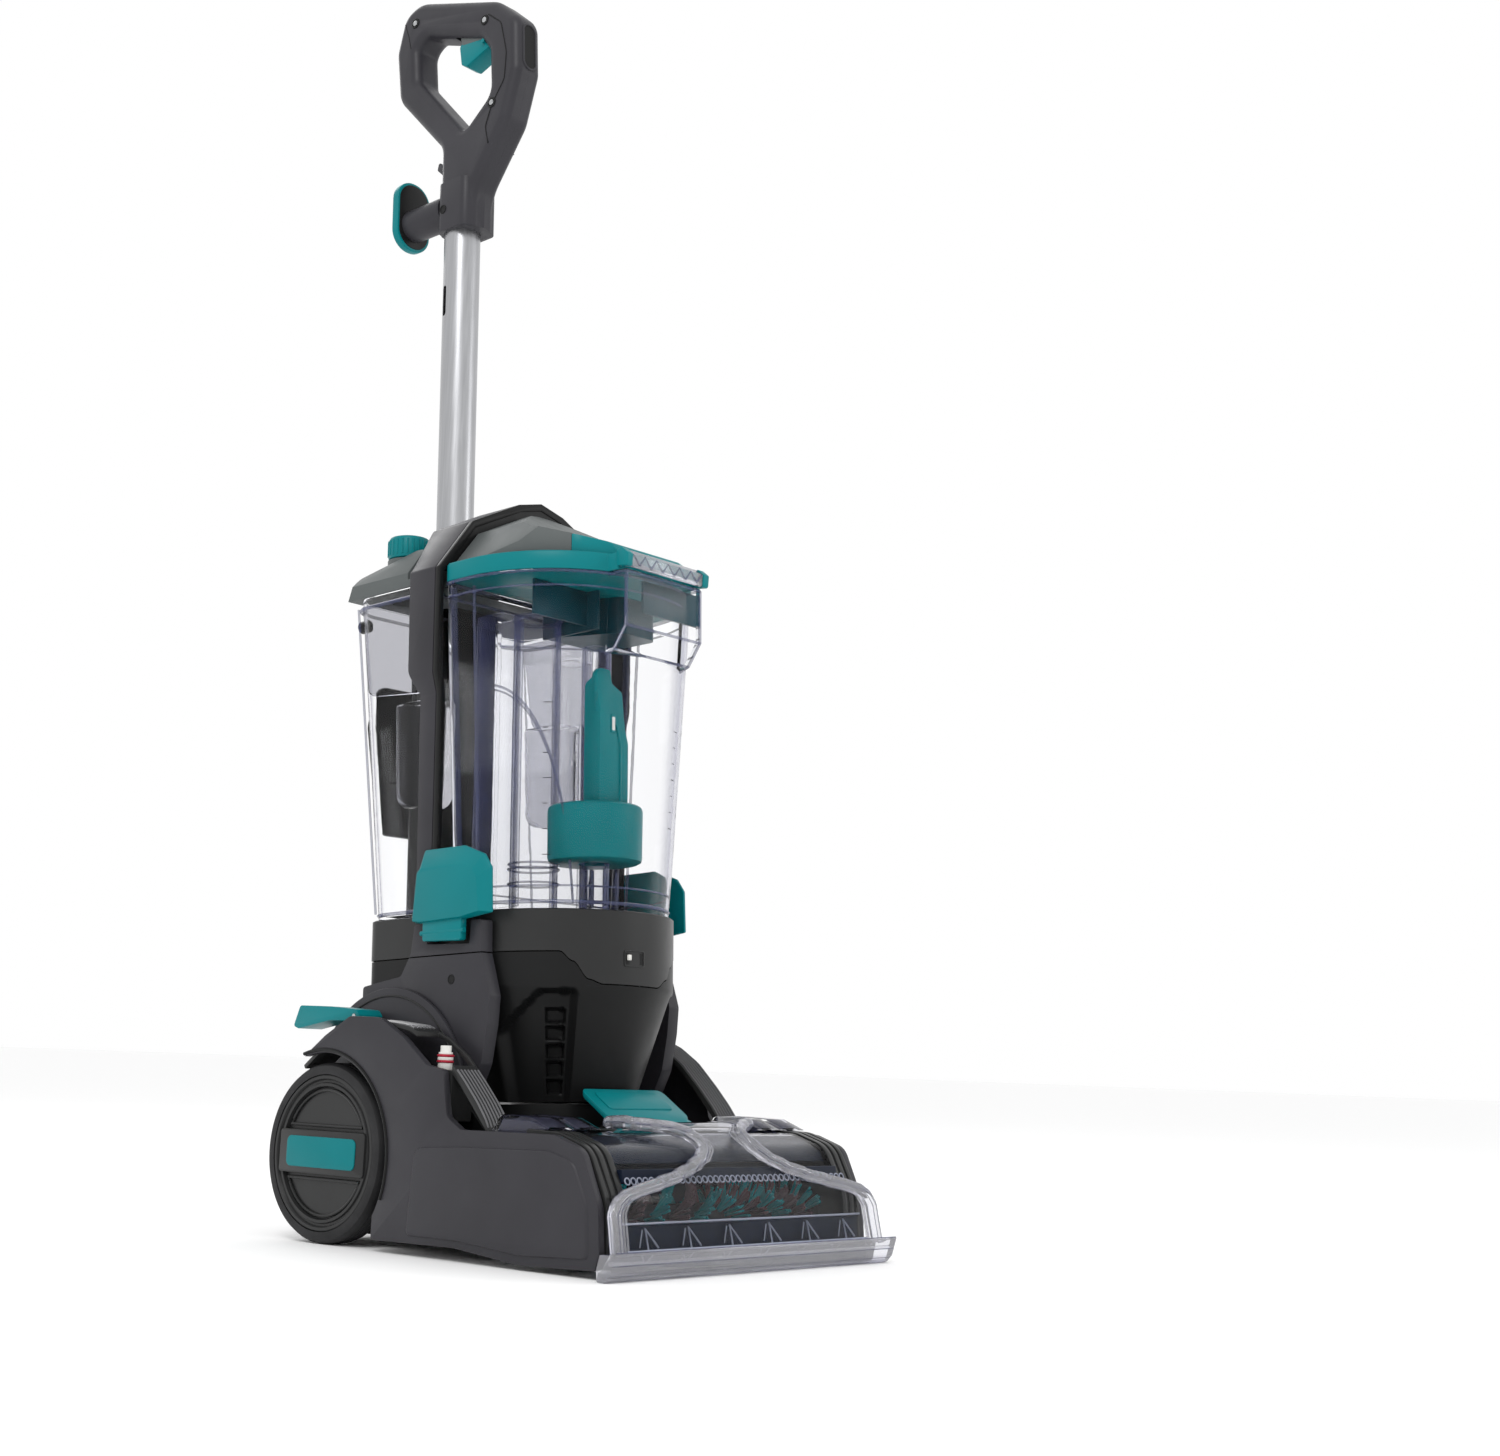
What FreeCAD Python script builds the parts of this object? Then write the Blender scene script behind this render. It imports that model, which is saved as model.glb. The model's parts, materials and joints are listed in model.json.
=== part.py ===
import FreeCAD, Part
import math
import os
import Sketcher

# Upright carpet cleaner: a wheeled floor base with a brush nozzle, and a reclining upright that
# carries the recovery tank (front), the clean-water tank (rear), a pole and a loop handle.
# Millimetres, +Z up, front of the machine towards -Y, floor at z = 0.
# Everything is drawn about a datum plane (y = 0 through the front tank's centre when the upright
# stands square); datum_y then moves the whole machine so that the origin is the middle of its
# footprint. The upright is drawn square and leans back by lean_angle about its pivot.

V = FreeCAD.Vector
doc = FreeCAD.newDocument("carpet_cleaner")

DIMS = {
    # frame
    "datum_y": -21.38, "lean_angle": 2.82, "pivot_y": 75.0, "pivot_z": 110.0,
    # wheels and axles
    "wheel_radius": 70.0, "wheel_y": 107.0, "tyre_depth": 9.0, "wheel_in": 120.5,
    "wheel_out": 146.5, "axle_radius": 6.0, "run_gap": 0.05,
    # base shell
    "panel_in": 144.0, "panel_out": 150.0, "well_radius": 80.3, "wall_in": 114.0,
    "wall_out": 118.0, "floor_low": 9.0, "floor_high": 13.0, "fender_in": 119.0,
    "fender_out": 143.4, "pin_radius": 10.0,
    # nozzle and brush
    "brush_y": -160.0, "brush_z": 34.0, "brush_radius": 30.0, "core_radius": 12.0,
    "brush_half": 118.0, "hood_half": 128.0, "cap_out": 143.4, "lip_half": 160.0,
    "cover_half": 152.0, "motor_y": -92.0, "motor_z": 42.0, "motor_radius": 22.0,
    "belt_in": 120.4, "belt_out": 126.4, "brush_pulley": 12.0, "motor_pulley": 8.0,
    "belt_thick": 1.6, "journal_radius": 4.0,
    # port door, pedal, nipple
    "door_half": 46.0, "door_pin_y": -109.0, "door_pin_z": 97.0, "small_pin": 2.0,
    "pedal_pin_y": 82.0, "pedal_pin_z": 176.5, "nipple_x": -131.0, "nipple_y": -14.0,
    "nipple_z": 138.0,
    # upright housing
    "housing_half": 96.0, "housing_low_half": 66.0, "housing_low": 110.0, "housing_top": 198.0,
    "collar_top": 258.0, "back_y": 124.0, "wall": 3.0, "hip_out": 108.0, "disc_out": 112.4,
    "disc_radius": 90.6, "fan_radius": 46.0, "fan_low": 192.0, "fan_high": 204.0,
    # tanks
    "tank_high": 527.0, "tank_low_radius": 91.0, "tank_high_radius": 107.0,
    "tank_back": 25.0, "clear_wall": 2.6, "spout_half": 44.0, "spout_y": -117.0,
    "riser_radius": 19.5, "riser_high": 505.0, "guide_radius": 12.0, "guide_high": 478.0,
    "float_radius": 39.0, "float_low": 299.0, "float_high": 346.0, "float_stem_high": 457.0,
    "float_x": -6.0, "float_y": -48.0, "lid_high": 541.0,
    "cap_radius": 18.0, "cap_x": -68.0, "cap_y": 118.0,
    # frame band, spine, pole
    "band_low_in": 103.6, "band_high_in": 109.2, "band_thick": 5.4, "spine_half": 30.0,
    "pole_radius": 16.5, "pole_wall": 1.5, "pole_y": 137.0, "pole_low": 505.0,
    "pole_high": 930.0,
    # handle
    "grip_half": 16.0, "trigger_half": 10.0, "trigger_y": 102.0, "trigger_z": 1075.0,
    "rod_radius": 3.0, "hook_radius": 15.0, "hook_z": 926.0,
}

sheet = doc.addObject("Spreadsheet::Sheet", "Dims")
for row, (alias, value) in enumerate(DIMS.items(), 1):
    sheet.set(f"A{row}", alias)
    sheet.set(f"B{row}", str(value))
    sheet.setAlias(f"B{row}", alias)
doc.recompute()


class Named:
    """The sheet's values by name, for outlines worked out in this macro."""

    def __getattr__(self, alias):
        return float(sheet.get(alias))


D = Named()
LEAN = FreeCAD.Rotation(V(1, 0, 0), -D.lean_angle)
PIVOT = V(0, D.pivot_y, D.pivot_z)
DATUM = V(0, D.datum_y, 0)
AT_REST = FreeCAD.Placement(DATUM, FreeCAD.Rotation())
LEANING = FreeCAD.Placement(DATUM + PIVOT - LEAN.multVec(PIVOT), LEAN)

parts = {}


def keep(label, item, placement=AT_REST):
    """Names a finished sub-part and puts it in its place."""
    item.Label = label
    item.Placement = placement.multiply(item.Placement)
    parts[label] = item
    return item


# ---------------------------------------------------------------- sketches and features

def corners(points):
    """Lines and tangent arcs of a closed outline; a point is (a, b) or (a, b, corner radius)."""
    count = len(points)
    starts, ends, arcs = [], [], []
    for i, point in enumerate(points):
        here = V(point[0], point[1], 0)
        before = V(*points[i - 1][:2], 0)
        after = V(*points[(i + 1) % count][:2], 0)
        to_before = (before - here).normalize()
        to_after = (after - here).normalize()
        radius = point[2] if len(point) > 2 else 0
        half = to_before.getAngle(to_after) / 2
        if radius == 0:
            starts.append(here)
            ends.append(here)
            continue
        reach = radius / math.tan(half)
        centre = here + (to_before + to_after).normalize() * (radius / math.sin(half))
        first, last = here + to_before * reach, here + to_after * reach
        middle = centre + (here - centre).normalize() * radius
        arcs.append(Part.Arc(first, middle, last))
        starts.append(first)
        ends.append(last)
    lines = []
    for i in range(count):
        run = V(*points[(i + 1) % count][:2], 0) - V(*points[i][:2], 0)
        piece = starts[(i + 1) % count] - ends[i]
        if run.dot(piece) <= 0:
            raise ValueError(f"corner radii do not fit between {points[i]} and the next point")
        lines.append(Part.LineSegment(ends[i], starts[(i + 1) % count]))
    return lines + arcs


def sketch(body, plane, outlines, offset):
    """A sketch on one of the body's origin planes, moved along its normal by an expression."""
    item = body.newObject("Sketcher::SketchObject", body.Name + "_sketch")
    base = [f for f in body.Origin.OriginFeatures if f.Role == plane][0]
    item.AttachmentSupport = (base, [""])
    item.MapMode = "FlatFace"
    item.setExpression("AttachmentOffset.Base.z", offset)
    for outline in outlines:
        if isinstance(outline, dict):
            centre = V(outline["a"], outline["b"], 0)
            number = item.addGeometry(Part.Circle(centre, V(0, 0, 1), 1), False)
            rule = item.addConstraint(Sketcher.Constraint("Radius", number, 1))
            item.setExpression(f"Constraints[{rule}]", outline["radius"])
        else:
            for curve in corners(outline):
                item.addGeometry(curve, False)
    return item


def ring(a, b, radius):
    return {"a": a, "b": b, "radius": radius}


def low_high(plane, low, high):
    """Sketch offsets of the two ends: the XZ plane's normal points to -Y."""
    return (f"-({high})", f"-({low})") if plane == "XZ_Plane" else (low, high)


def new_body(label):
    return doc.addObject("PartDesign::Body", label)


def pad(body, plane, outlines, low, high):
    """Material between two stations along the plane's axis."""
    item = body.newObject("PartDesign::Pad", body.Name + "_pad")
    item.Profile = sketch(body, plane, outlines, low_high(plane, low, high)[0])
    item.setExpression("Length", f"({high}) - ({low})")
    return item


def pocket(body, plane, outlines, low, high):
    """A cut between two stations; the sketch lies on the upper one and the cut goes down."""
    before = volume(body)
    item = body.newObject("PartDesign::Pocket", body.Name + "_pocket")
    item.Profile = sketch(body, plane, outlines, low_high(plane, low, high)[1])
    item.setExpression("Length", f"({high}) - ({low})")
    doc.recompute()
    if not volume(body) < before - 1e-3:
        raise RuntimeError(f"{body.Name}: a pocket cuts nothing")
    return item


def volume(body):
    doc.recompute()
    return body.Shape.Volume


def prism(label, plane, outlines, low, high):
    body = new_body(label)
    pad(body, plane, outlines, low, high)
    return body


def turned(label, outlines, axis="H_Axis"):
    """A solid turned about the sketch's X axis (H_Axis) or Z axis (V_Axis)."""
    body = new_body(label)
    item = body.newObject("PartDesign::Revolution", label + "_turn")
    item.Profile = sketch(body, "XZ_Plane", outlines, "0")
    item.ReferenceAxis = (item.Profile[0], [axis])
    item.Angle = 360
    return body


def loft(body, kind, stations):
    """Additive or subtractive loft through outlines at heights given as expressions."""
    item = body.newObject(f"PartDesign::{kind}Loft", body.Name + "_loft")
    sections = [sketch(body, "XY_Plane", [outline], height) for height, outline in stations]
    item.Profile = sections[0]
    item.Sections = sections[1:]
    item.Ruled = True
    return item


def cylinder(label, radius, length, base, direction):
    item = doc.addObject("Part::Cylinder", label)
    item.setExpression("Radius", radius)
    item.setExpression("Height", length)
    item.Placement = FreeCAD.Placement(base, FreeCAD.Rotation(V(0, 0, 1), direction))
    return item


def block(label, low, high):
    item = doc.addObject("Part::Box", label)
    item.Length, item.Width, item.Height = (high[i] - low[i] for i in range(3))
    item.Placement.Base = V(*low)
    return item


def combine(kind, label, first, second):
    """kind is Cut, Fuse or Common."""
    item = doc.addObject(f"Part::{kind}", label)
    item.Base, item.Tool = first, second
    return item


def group(label, items):
    item = doc.addObject("Part::Compound", label)
    item.Links = items
    return item


def mirrored(points):
    """The outline's points on the other side of the middle plane."""
    return [(-point[0], *point[1:]) for point in points]


def side_span(side, low, high):
    """A span of |x| on the left (-1) or right (+1) side, as two expressions."""
    return (low, high) if side > 0 else (f"-({high})", f"-({low})")


SIDES = {"left": -1, "right": 1}
X, Y, Z = V(1, 0, 0), V(0, 1, 0), V(0, 0, 1)


# ---------------------------------------------------------------- floor base

def base_chassis():
    """Open tray: floor, two side walls that hold the pivot pins and stub axles."""
    body = prism("base_chassis", "XY_Plane",
                 [[(-118, -60), (118, -60), (118, 148), (-118, 148)]],
                 "Dims.floor_low", "Dims.floor_high")
    pad(body, "XY_Plane", [[(-114, 144), (114, 144), (114, 148), (-114, 148)]],
        "Dims.floor_low", "48")
    wall = [(-60, 12), (148, 12), (148, 60), (132, 120, 12), (108, 148, 20), (40, 148, 20),
            (-20, 118, 10), (-60, 84)]
    for side in SIDES.values():
        pad(body, "YZ_Plane", [wall], *side_span(side, "Dims.wall_in", "Dims.wall_out"))
    holes = [ring(D.pivot_y, D.pivot_z, "Dims.pin_radius"),
             ring(D.wheel_y, D.wheel_radius, "Dims.axle_radius")]
    pocket(body, "YZ_Plane", holes, "-Dims.wall_out - 1", "Dims.wall_out + 1")
    keep("base_chassis", body)


def panel_outline():
    """Side panel: rear arch over the wheel, dip behind the hose nipple, low front pod."""
    return [(137, 141, 8), (108, 161, 14), (79, 176.5, 10), (44, 176, 30), (14, 161, 12),
            (-14, 141, 2), (-33, 138, 4), (-40, 104, 8), (-56, 95, 8), (-154, 96, 20),
            (-182, 87, 16), (-200, 50, 20), (-203, 18, 3), (-200, 6, 3), (-125, 3.5, 20),
            (-55, 10, 20), (38, 9, 2), (38, 38)]


def side_panel(name, side):
    body = prism(f"side_panel_{name}", "YZ_Plane", [panel_outline()],
                 *side_span(side, "Dims.panel_in", "Dims.panel_out"))
    pocket(body, "YZ_Plane", [ring(D.wheel_y, 67.4, "Dims.well_radius")],
           *side_span(side, "Dims.panel_in - 1", "Dims.panel_out + 1"))
    keep(f"side_panel_{name}", body)


def fender_outline():
    """Thin arch over the wheel that runs down to the deck in front of the bay."""
    top = [(141, 137), (108, 161.5, 30), (62, 174, 60), (16, 170, 40), (-8, 161, 20),
           (-28, 149, 30), (-49, 130, 30), (-64, 115, 20), (-74, 103, 10), (-79, 95)]
    under = [(-79, 88), (-75, 96, 8), (-60, 112, 20), (-46, 126, 25), (-25, 145, 25),
             (-7, 157, 20), (17, 166, 35), (62, 170.5, 55), (107, 158, 27), (139, 134)]
    return top + under


def fender(name, side):
    span = side_span(side, "Dims.fender_in", "Dims.fender_out")
    body = prism(f"fender_{name}", "YZ_Plane", [fender_outline()], *span)
    if side < 0:
        shelf = [(-36, 100), (-36, 138), (6, 138), (6, 100)]
        pocket(body, "YZ_Plane", [[(-36, 138), (-36, 180), (6, 180), (6, 138)]],
               "-Dims.panel_in", "-Dims.fender_in - 2.4")
        pad(body, "YZ_Plane", [shelf], "-Dims.fender_out", "-Dims.fender_in - 2.4")
    keep(f"fender_{name}", body)


def pins():
    """Stub axles of the wheels and the two pins that the upright turns on."""
    axles, pivots = [], []
    for side in SIDES.values():
        base = V(side * D.wall_in, D.wheel_y, D.wheel_radius)
        axles.append(cylinder("stub_axle", "Dims.axle_radius", "Dims.wheel_out - Dims.wall_in - 6",
                              base, X * side))
        base = V(side * 98, D.pivot_y, D.pivot_z)
        pivots.append(cylinder("pivot_pin", "Dims.pin_radius", "Dims.wall_out - 98 + 0.8",
                               base, X * side))
    keep("wheel_axles", group("wheel_axles", axles))
    keep("pivot_pins", group("pivot_pins", pivots))


def wheel(name, side):
    """Rubber tyre, dished hub with a recessed ring face, and a long rounded inlay."""
    at_wheel = FreeCAD.Placement(V(0, D.wheel_y, D.wheel_radius), FreeCAD.Rotation())
    low, high = D.wheel_in, D.wheel_out
    rim = D.wheel_radius - D.tyre_depth
    tyre = [(low, rim), (low, D.wheel_radius - 3, 2), (low + 3, D.wheel_radius, 2),
            (high - 3, D.wheel_radius, 2), (high, D.wheel_radius - 3, 2), (high, rim)]
    bore = D.axle_radius + D.run_gap
    hub = [(low + 2, bore), (low + 2, 20), (low + 8, 20), (low + 8, rim - 6), (low + 1, rim - 6),
           (low + 1, rim), (high, rim), (high, rim - 4), (high - 3, rim - 6), (high - 3, 12),
           (high - 6, 9), (high - 6, bore)]

    def sided(points):
        return [(side * p[0], *p[1:]) for p in points]

    keep(f"tyre_{name}", turned(f"tyre_{name}", [sided(tyre)]), AT_REST * at_wheel)
    body = turned(f"hub_{name}", [sided(hub)])
    bar = [(-56 + 3, -17, 5), (56 - 3, -17, 5), (56 - 3, 17, 5), (-56 + 3, 17, 5)]
    pad(body, "YZ_Plane", [bar], *side_span(side, "Dims.wheel_out - 4", "Dims.wheel_out"))
    keep(f"hub_{name}", body, AT_REST * at_wheel)
    inlay = [(-43, -12, 5), (43, -12, 5), (43, 12, 5), (-43, 12, 5)]
    plate = prism(f"inlay_{name}", "YZ_Plane", [inlay],
                  *side_span(side, "Dims.wheel_out", "Dims.wheel_out + 2"))
    keep(f"inlay_{name}", plate, AT_REST * at_wheel)


def pedal():
    """Foot pedal that frees the upright: turns on a pin across the left fender."""
    outline = [(74, 175.5, 2), (80, 182, 4), (112, 184, 6), (150, 184.5, 3), (157, 168, 2),
               (151, 166, 1), (112, 173, 4), (90, 173, 4)]
    body = prism("recline_pedal", "YZ_Plane", [outline], "-143.6", "-119.6")
    pocket(body, "YZ_Plane", [ring(D.pedal_pin_y, D.pedal_pin_z, "Dims.small_pin + Dims.run_gap")],
           "-147", "-119")
    keep("recline_pedal", body)


def hinge_pins():
    pedal_pin = cylinder("pedal_pin", "Dims.small_pin", "24.4",
                         V(-143.8, D.pedal_pin_y, D.pedal_pin_z), X)
    door_pin = cylinder("door_pin", "Dims.small_pin", "2 * Dims.door_half + 12",
                        V(-D.door_half - 6, D.door_pin_y, D.door_pin_z), X)
    keep("hinge_pins", group("hinge_pins", [pedal_pin, door_pin]))


def nipple():
    """Water outlet for a hose, with two O-rings in its grooves."""
    at_nipple = FreeCAD.Placement(V(D.nipple_x, D.nipple_y, D.nipple_z), FreeCAD.Rotation())
    outline = [(2, 0), (5.6, 0), (5.6, 5), (4.6, 5), (4.6, 7), (6, 7), (6, 9.4), (4.6, 9.4),
               (4.6, 11.4), (5.4, 11.4), (5.4, 13), (4.2, 13), (4.2, 18), (2, 18)]
    keep("hose_nipple", turned("hose_nipple", [outline], "V_Axis"), AT_REST * at_nipple)
    rings = []
    for height in (6.0, 10.4):
        item = doc.addObject("Part::Torus", "o_ring")
        item.Radius1, item.Radius2 = 5.6, 0.98
        item.Placement.Base = V(0, 0, height)
        rings.append(item)
    keep("nipple_o_rings", group("nipple_o_rings", rings), AT_REST * at_nipple)


def deck_and_duct():
    """Deck in front of the bay with the hose port's duct, and the two clear side boxes."""
    deck = prism("port_duct", "YZ_Plane",
                 [[(-118, 78), (-118, 92, 3), (-64, 92), (-64, 78)]], "-113.6", "113.6")
    pad(deck, "XY_Plane", [[(-40, -106), (40, -106), (40, -76), (-40, -76)]], "66", "94")
    pocket(deck, "XY_Plane", [[(-36, -102), (36, -102), (36, -80), (-36, -80)]], "50", "110")
    ears = [(-116, 91), (-114, 101, 4), (-104, 101, 4), (-102, 91)]
    for side in SIDES.values():
        pad(deck, "YZ_Plane", [ears], *side_span(side, "Dims.door_half + 0.4",
                                                 "Dims.door_half + 6"))
    pocket(deck, "YZ_Plane", [ring(D.door_pin_y, D.door_pin_z, "Dims.small_pin")],
           "-Dims.door_half - 7", "Dims.door_half + 7")
    keep("port_duct", deck)
    outline = [(-83, 92.4), (-83, 97, 2), (-91, 108, 3), (-124, 107, 6), (-146, 99),
               (-119, 98.6), (-118.6, 92.4)]
    boxes = [prism("side_box", "YZ_Plane", [outline], *side_span(side, "92", "113.4"))
             for side in SIDES.values()]
    boxes += [prism("side_box", "YZ_Plane", [outline], *side_span(side, "119", "143.4"))
              for side in SIDES.values()]
    keep("deck_covers", group("deck_covers", boxes))


def port_door():
    """Hinged cover of the hose port; its hinge barrel is at the lower front edge."""
    outline = [(-74, 122, 1), (-74.6, 129, 2), (-80, 130, 2), (-104, 108, 3),
               (-112.5, 101, 3), (-113, 94.2, 3), (-104, 94.4, 2), (-82, 116, 2)]
    body = prism("port_cover", "YZ_Plane", [outline], "-Dims.door_half", "Dims.door_half")
    pocket(body, "YZ_Plane", [ring(D.door_pin_y, D.door_pin_z, "Dims.small_pin + Dims.run_gap")],
           "-Dims.door_half - 1", "Dims.door_half + 1")
    keep("port_cover", body)


def hood_curve(gap):
    """Outside of the brush hood from the rear deck round to the floor, moved in by gap."""
    return [(-119, 98 - gap), (-152, 97 - gap, 30), (-181 + gap, 88 - gap, 24),
            (-201 + gap, 52, 40), (-204 + gap, 8)]


def nozzle():
    """Clear hood over the brush, its end caps, the bell-shaped front cover and the lip."""
    wall = D.clear_wall
    outline = hood_curve(0) + hood_curve(wall)[::-1]
    keep("brush_hood", prism("brush_hood", "YZ_Plane", [outline],
                             "-Dims.hood_half + 0.2", "Dims.hood_half - 0.2"))
    cap = hood_curve(0) + [(-119, 8)]
    caps = []
    for side in SIDES.values():
        body = prism("end_cap", "YZ_Plane", [cap],
                     *side_span(side, "Dims.hood_half", "Dims.cap_out"))
        pocket(body, "YZ_Plane", [ring(D.brush_y, D.brush_z, "Dims.journal_radius + Dims.run_gap")],
               *side_span(side, "Dims.hood_half - 1", "Dims.cap_out + 1"))
        caps.append(body)
    keep("end_caps", group("end_caps", caps))
    front = [(-119, 99), (-119, 103), (-140, 105.4, 40), (-165, 102, 30), (-188, 90, 24),
             (-209, 62, 30), (-218, 19), (-214.6, 19), (-206, 60, 28), (-186, 88, 22),
             (-164, 99, 28), (-140, 102.4, 38)]
    strip = prism("cover_strip", "YZ_Plane", [front], "-Dims.cover_half", "Dims.cover_half")
    half = [(152, 10), (152, 44, 10), (140, 57, 12), (78, 66, 24), (38, 82, 24), (31, 94, 8),
            (36, 104, 2), (36, 112)]
    bell = prism("cover_bell", "XZ_Plane", [half + mirrored(half[::-1])], "-230", "-50")
    keep("nozzle_cover", combine("Common", "nozzle_cover", strip, bell))
    lip = [(-213.6, 18.9), (-220, 18.9), (-229, 21, 1.5), (-223.5, 2, 2), (-219, 0),
           (-211, 0), (-210, 8)]
    keep("nozzle_lip", prism("nozzle_lip", "YZ_Plane", [lip], "-Dims.lip_half",
                             "Dims.lip_half"))
    bar = prism("spray_bar", "YZ_Plane", [[(-187, 60, 2), (-184.5, 68, 2), (-177, 70, 2),
                                           (-180, 61, 2)]], "-120", "120")
    keep("spray_bar", bar)


def brush():
    """Driven brush: core with journals and a belt pulley, and its bristle cylinder."""
    at_brush = FreeCAD.Placement(V(0, D.brush_y, D.brush_z), FreeCAD.Rotation())
    end = D.hood_half + 8
    core = [(-end, 0), (-end, D.journal_radius), (-D.brush_half, D.journal_radius),
            (-D.brush_half, D.core_radius), (D.brush_half, D.core_radius),
            (D.brush_half, D.journal_radius), (D.belt_in, D.journal_radius),
            (D.belt_in, D.brush_pulley), (D.belt_out, D.brush_pulley),
            (D.belt_out, D.journal_radius), (end, D.journal_radius), (end, 0)]
    keep("brush_core", turned("brush_core", [core]), AT_REST * at_brush)
    tuft = [(-D.brush_half + 2, D.core_radius), (-D.brush_half + 2, D.brush_radius),
            (D.brush_half - 2, D.brush_radius), (D.brush_half - 2, D.core_radius)]
    keep("brush_bristles", turned("brush_bristles", [tuft]), AT_REST * at_brush)
    at_motor = FreeCAD.Placement(V(0, D.motor_y, D.motor_z), FreeCAD.Rotation())
    shaft = 3.0
    body = turned("brush_motor", [[(-10, shaft + D.run_gap), (-10, D.motor_radius),
                                   (96, D.motor_radius), (96, 14), (104, 14),
                                   (104, shaft + D.run_gap)]])
    keep("brush_motor", body, AT_REST * at_motor)
    pinion = [(0, 0), (0, shaft), (D.belt_in, shaft), (D.belt_in, D.motor_pulley),
              (D.belt_out, D.motor_pulley), (D.belt_out, 0)]
    keep("motor_pinion", turned("motor_pinion", [pinion]), AT_REST * at_motor)


def belt():
    """Flat belt round the two pulleys: the outer envelope less the inner one."""
    gap = D.run_gap
    run = V(0, D.motor_y - D.brush_y, D.motor_z - D.brush_z)
    tilt = math.atan2(run.z, run.y)

    def envelope(grow):
        big, small = D.brush_pulley + grow, D.motor_pulley + grow
        lean = math.acos((big - small) / run.Length)
        ends = []
        for sign in (1, -1):
            angle = tilt + sign * lean
            direction = V(math.cos(angle), math.sin(angle), 0)
            ends.append((V(D.brush_y, D.brush_z, 0) + direction * big,
                         V(D.motor_y, D.motor_z, 0) + direction * small))
        (big_top, small_top), (big_low, small_low) = ends
        along = V(math.cos(tilt), math.sin(tilt), 0)
        return [Part.LineSegment(big_top, small_top),
                Part.Arc(small_top, V(D.motor_y, D.motor_z, 0) + along * small, small_low),
                Part.LineSegment(small_low, big_low),
                Part.Arc(big_low, V(D.brush_y, D.brush_z, 0) - along * big, big_top)]

    body = new_body("drive_belt")
    item = body.newObject("PartDesign::Pad", "belt_pad")
    item.Profile = sketch(body, "YZ_Plane", [], "Dims.belt_in")
    for curve in envelope(gap + D.belt_thick) + envelope(gap):
        item.Profile[0].addGeometry(curve, False)
    item.setExpression("Length", "Dims.belt_out - Dims.belt_in")
    keep("drive_belt", body)


# ---------------------------------------------------------------- upright

def d_outline(half, back, corner):
    """D-shaped section: a half circle towards the front, straight sides, rounded back."""
    front = half * 0.985
    return [(-half, back, corner), (-half, -half, front), (half, -half, front),
            (half, back, corner)]


def housing():
    """Motor housing: a D-shaped bucket that narrows downwards, with cooling slots."""
    body = new_body("lower_housing")
    top, foot = D.housing_half - 0.2, D.housing_low_half
    loft(body, "Additive", [("Dims.housing_low", d_outline(foot, 92, 8)),
                            ("Dims.housing_top", d_outline(top, D.back_y, 16))])
    loft(body, "Subtractive", [("Dims.housing_low + Dims.wall", d_outline(foot - 3, 89, 6)),
                               ("Dims.housing_top", d_outline(top - 3, D.back_y - 3, 13))])
    for side in SIDES.values():
        for number in range(5):
            low = 125 + number * 14
            slot = [(-80, low), (-80, low + 8), (-46, low + 8), (-46, low)]
            pocket(body, "YZ_Plane", [slot], *side_span(side, "52", "66"))
    keep("lower_housing", body, LEANING)


def collar():
    """Ring that the tank stands on, closed by a deck with an air hole and a small window."""
    body = new_body("collar")
    half = D.housing_half - 0.2
    outer = d_outline(half, D.back_y, 16)
    inner = d_outline(half - 3, D.back_y - 3, 13)
    pad(body, "XY_Plane", [outer], "Dims.housing_top", "Dims.collar_top")
    pocket(body, "XY_Plane", [inner], "Dims.housing_top", "Dims.collar_top - 12")
    pocket(body, "XY_Plane", [d_outline(D.tank_low_radius + 0.5, D.tank_back + 0.6, 4)],
           "Dims.collar_top - 8", "Dims.collar_top")
    pocket(body, "XY_Plane", [ring(-32, -5, "Dims.riser_radius - 3")],
           "Dims.collar_top - 13", "Dims.collar_top")
    window = [(-17, 215.5, 1), (1, 215.5, 1), (1, 225.5, 1), (-17, 225.5, 1)]
    pocket(body, "XZ_Plane", [window], "-100", "-80")
    keep("collar", body, LEANING)


def hips():
    """Round pivot discs and the hip covers above them, one pair each side."""
    cover = [(112, 110), (112, 203, 3), (90, 206, 6), (66, 209, 6), (55, 226, 4), (51, 249, 2),
             (37, 249), (35.6, 233), (-13.6, 231), (-15, 249), (-27, 249, 2), (-27.5, 223, 10),
             (-38, 190, 10), (-36, 168, 10), (-30, 138, 8), (0, 80)]
    covers, discs = [], []
    for side in SIDES.values():
        body = prism("hip_cover", "YZ_Plane", [cover],
                     *side_span(side, "Dims.housing_half", "Dims.hip_out"))
        hole = [ring(D.pivot_y, D.pivot_z, "Dims.pin_radius + Dims.run_gap")]
        pocket(body, "YZ_Plane", hole,
               *side_span(side, "Dims.housing_half - 1", "Dims.hip_out + 1"))
        covers.append(body)
        disc = prism("pivot_disc", "YZ_Plane", [ring(D.pivot_y, D.pivot_z, "Dims.disc_radius")],
                     *side_span(side, "Dims.hip_out", "Dims.disc_out"))
        pocket(disc, "YZ_Plane", hole,
               *side_span(side, "Dims.hip_out - 1", "Dims.disc_out + 1"))
        discs.append(disc)
    keep("hip_covers", group("hip_covers", covers), LEANING)
    keep("pivot_discs", group("pivot_discs", discs), LEANING)


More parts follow.
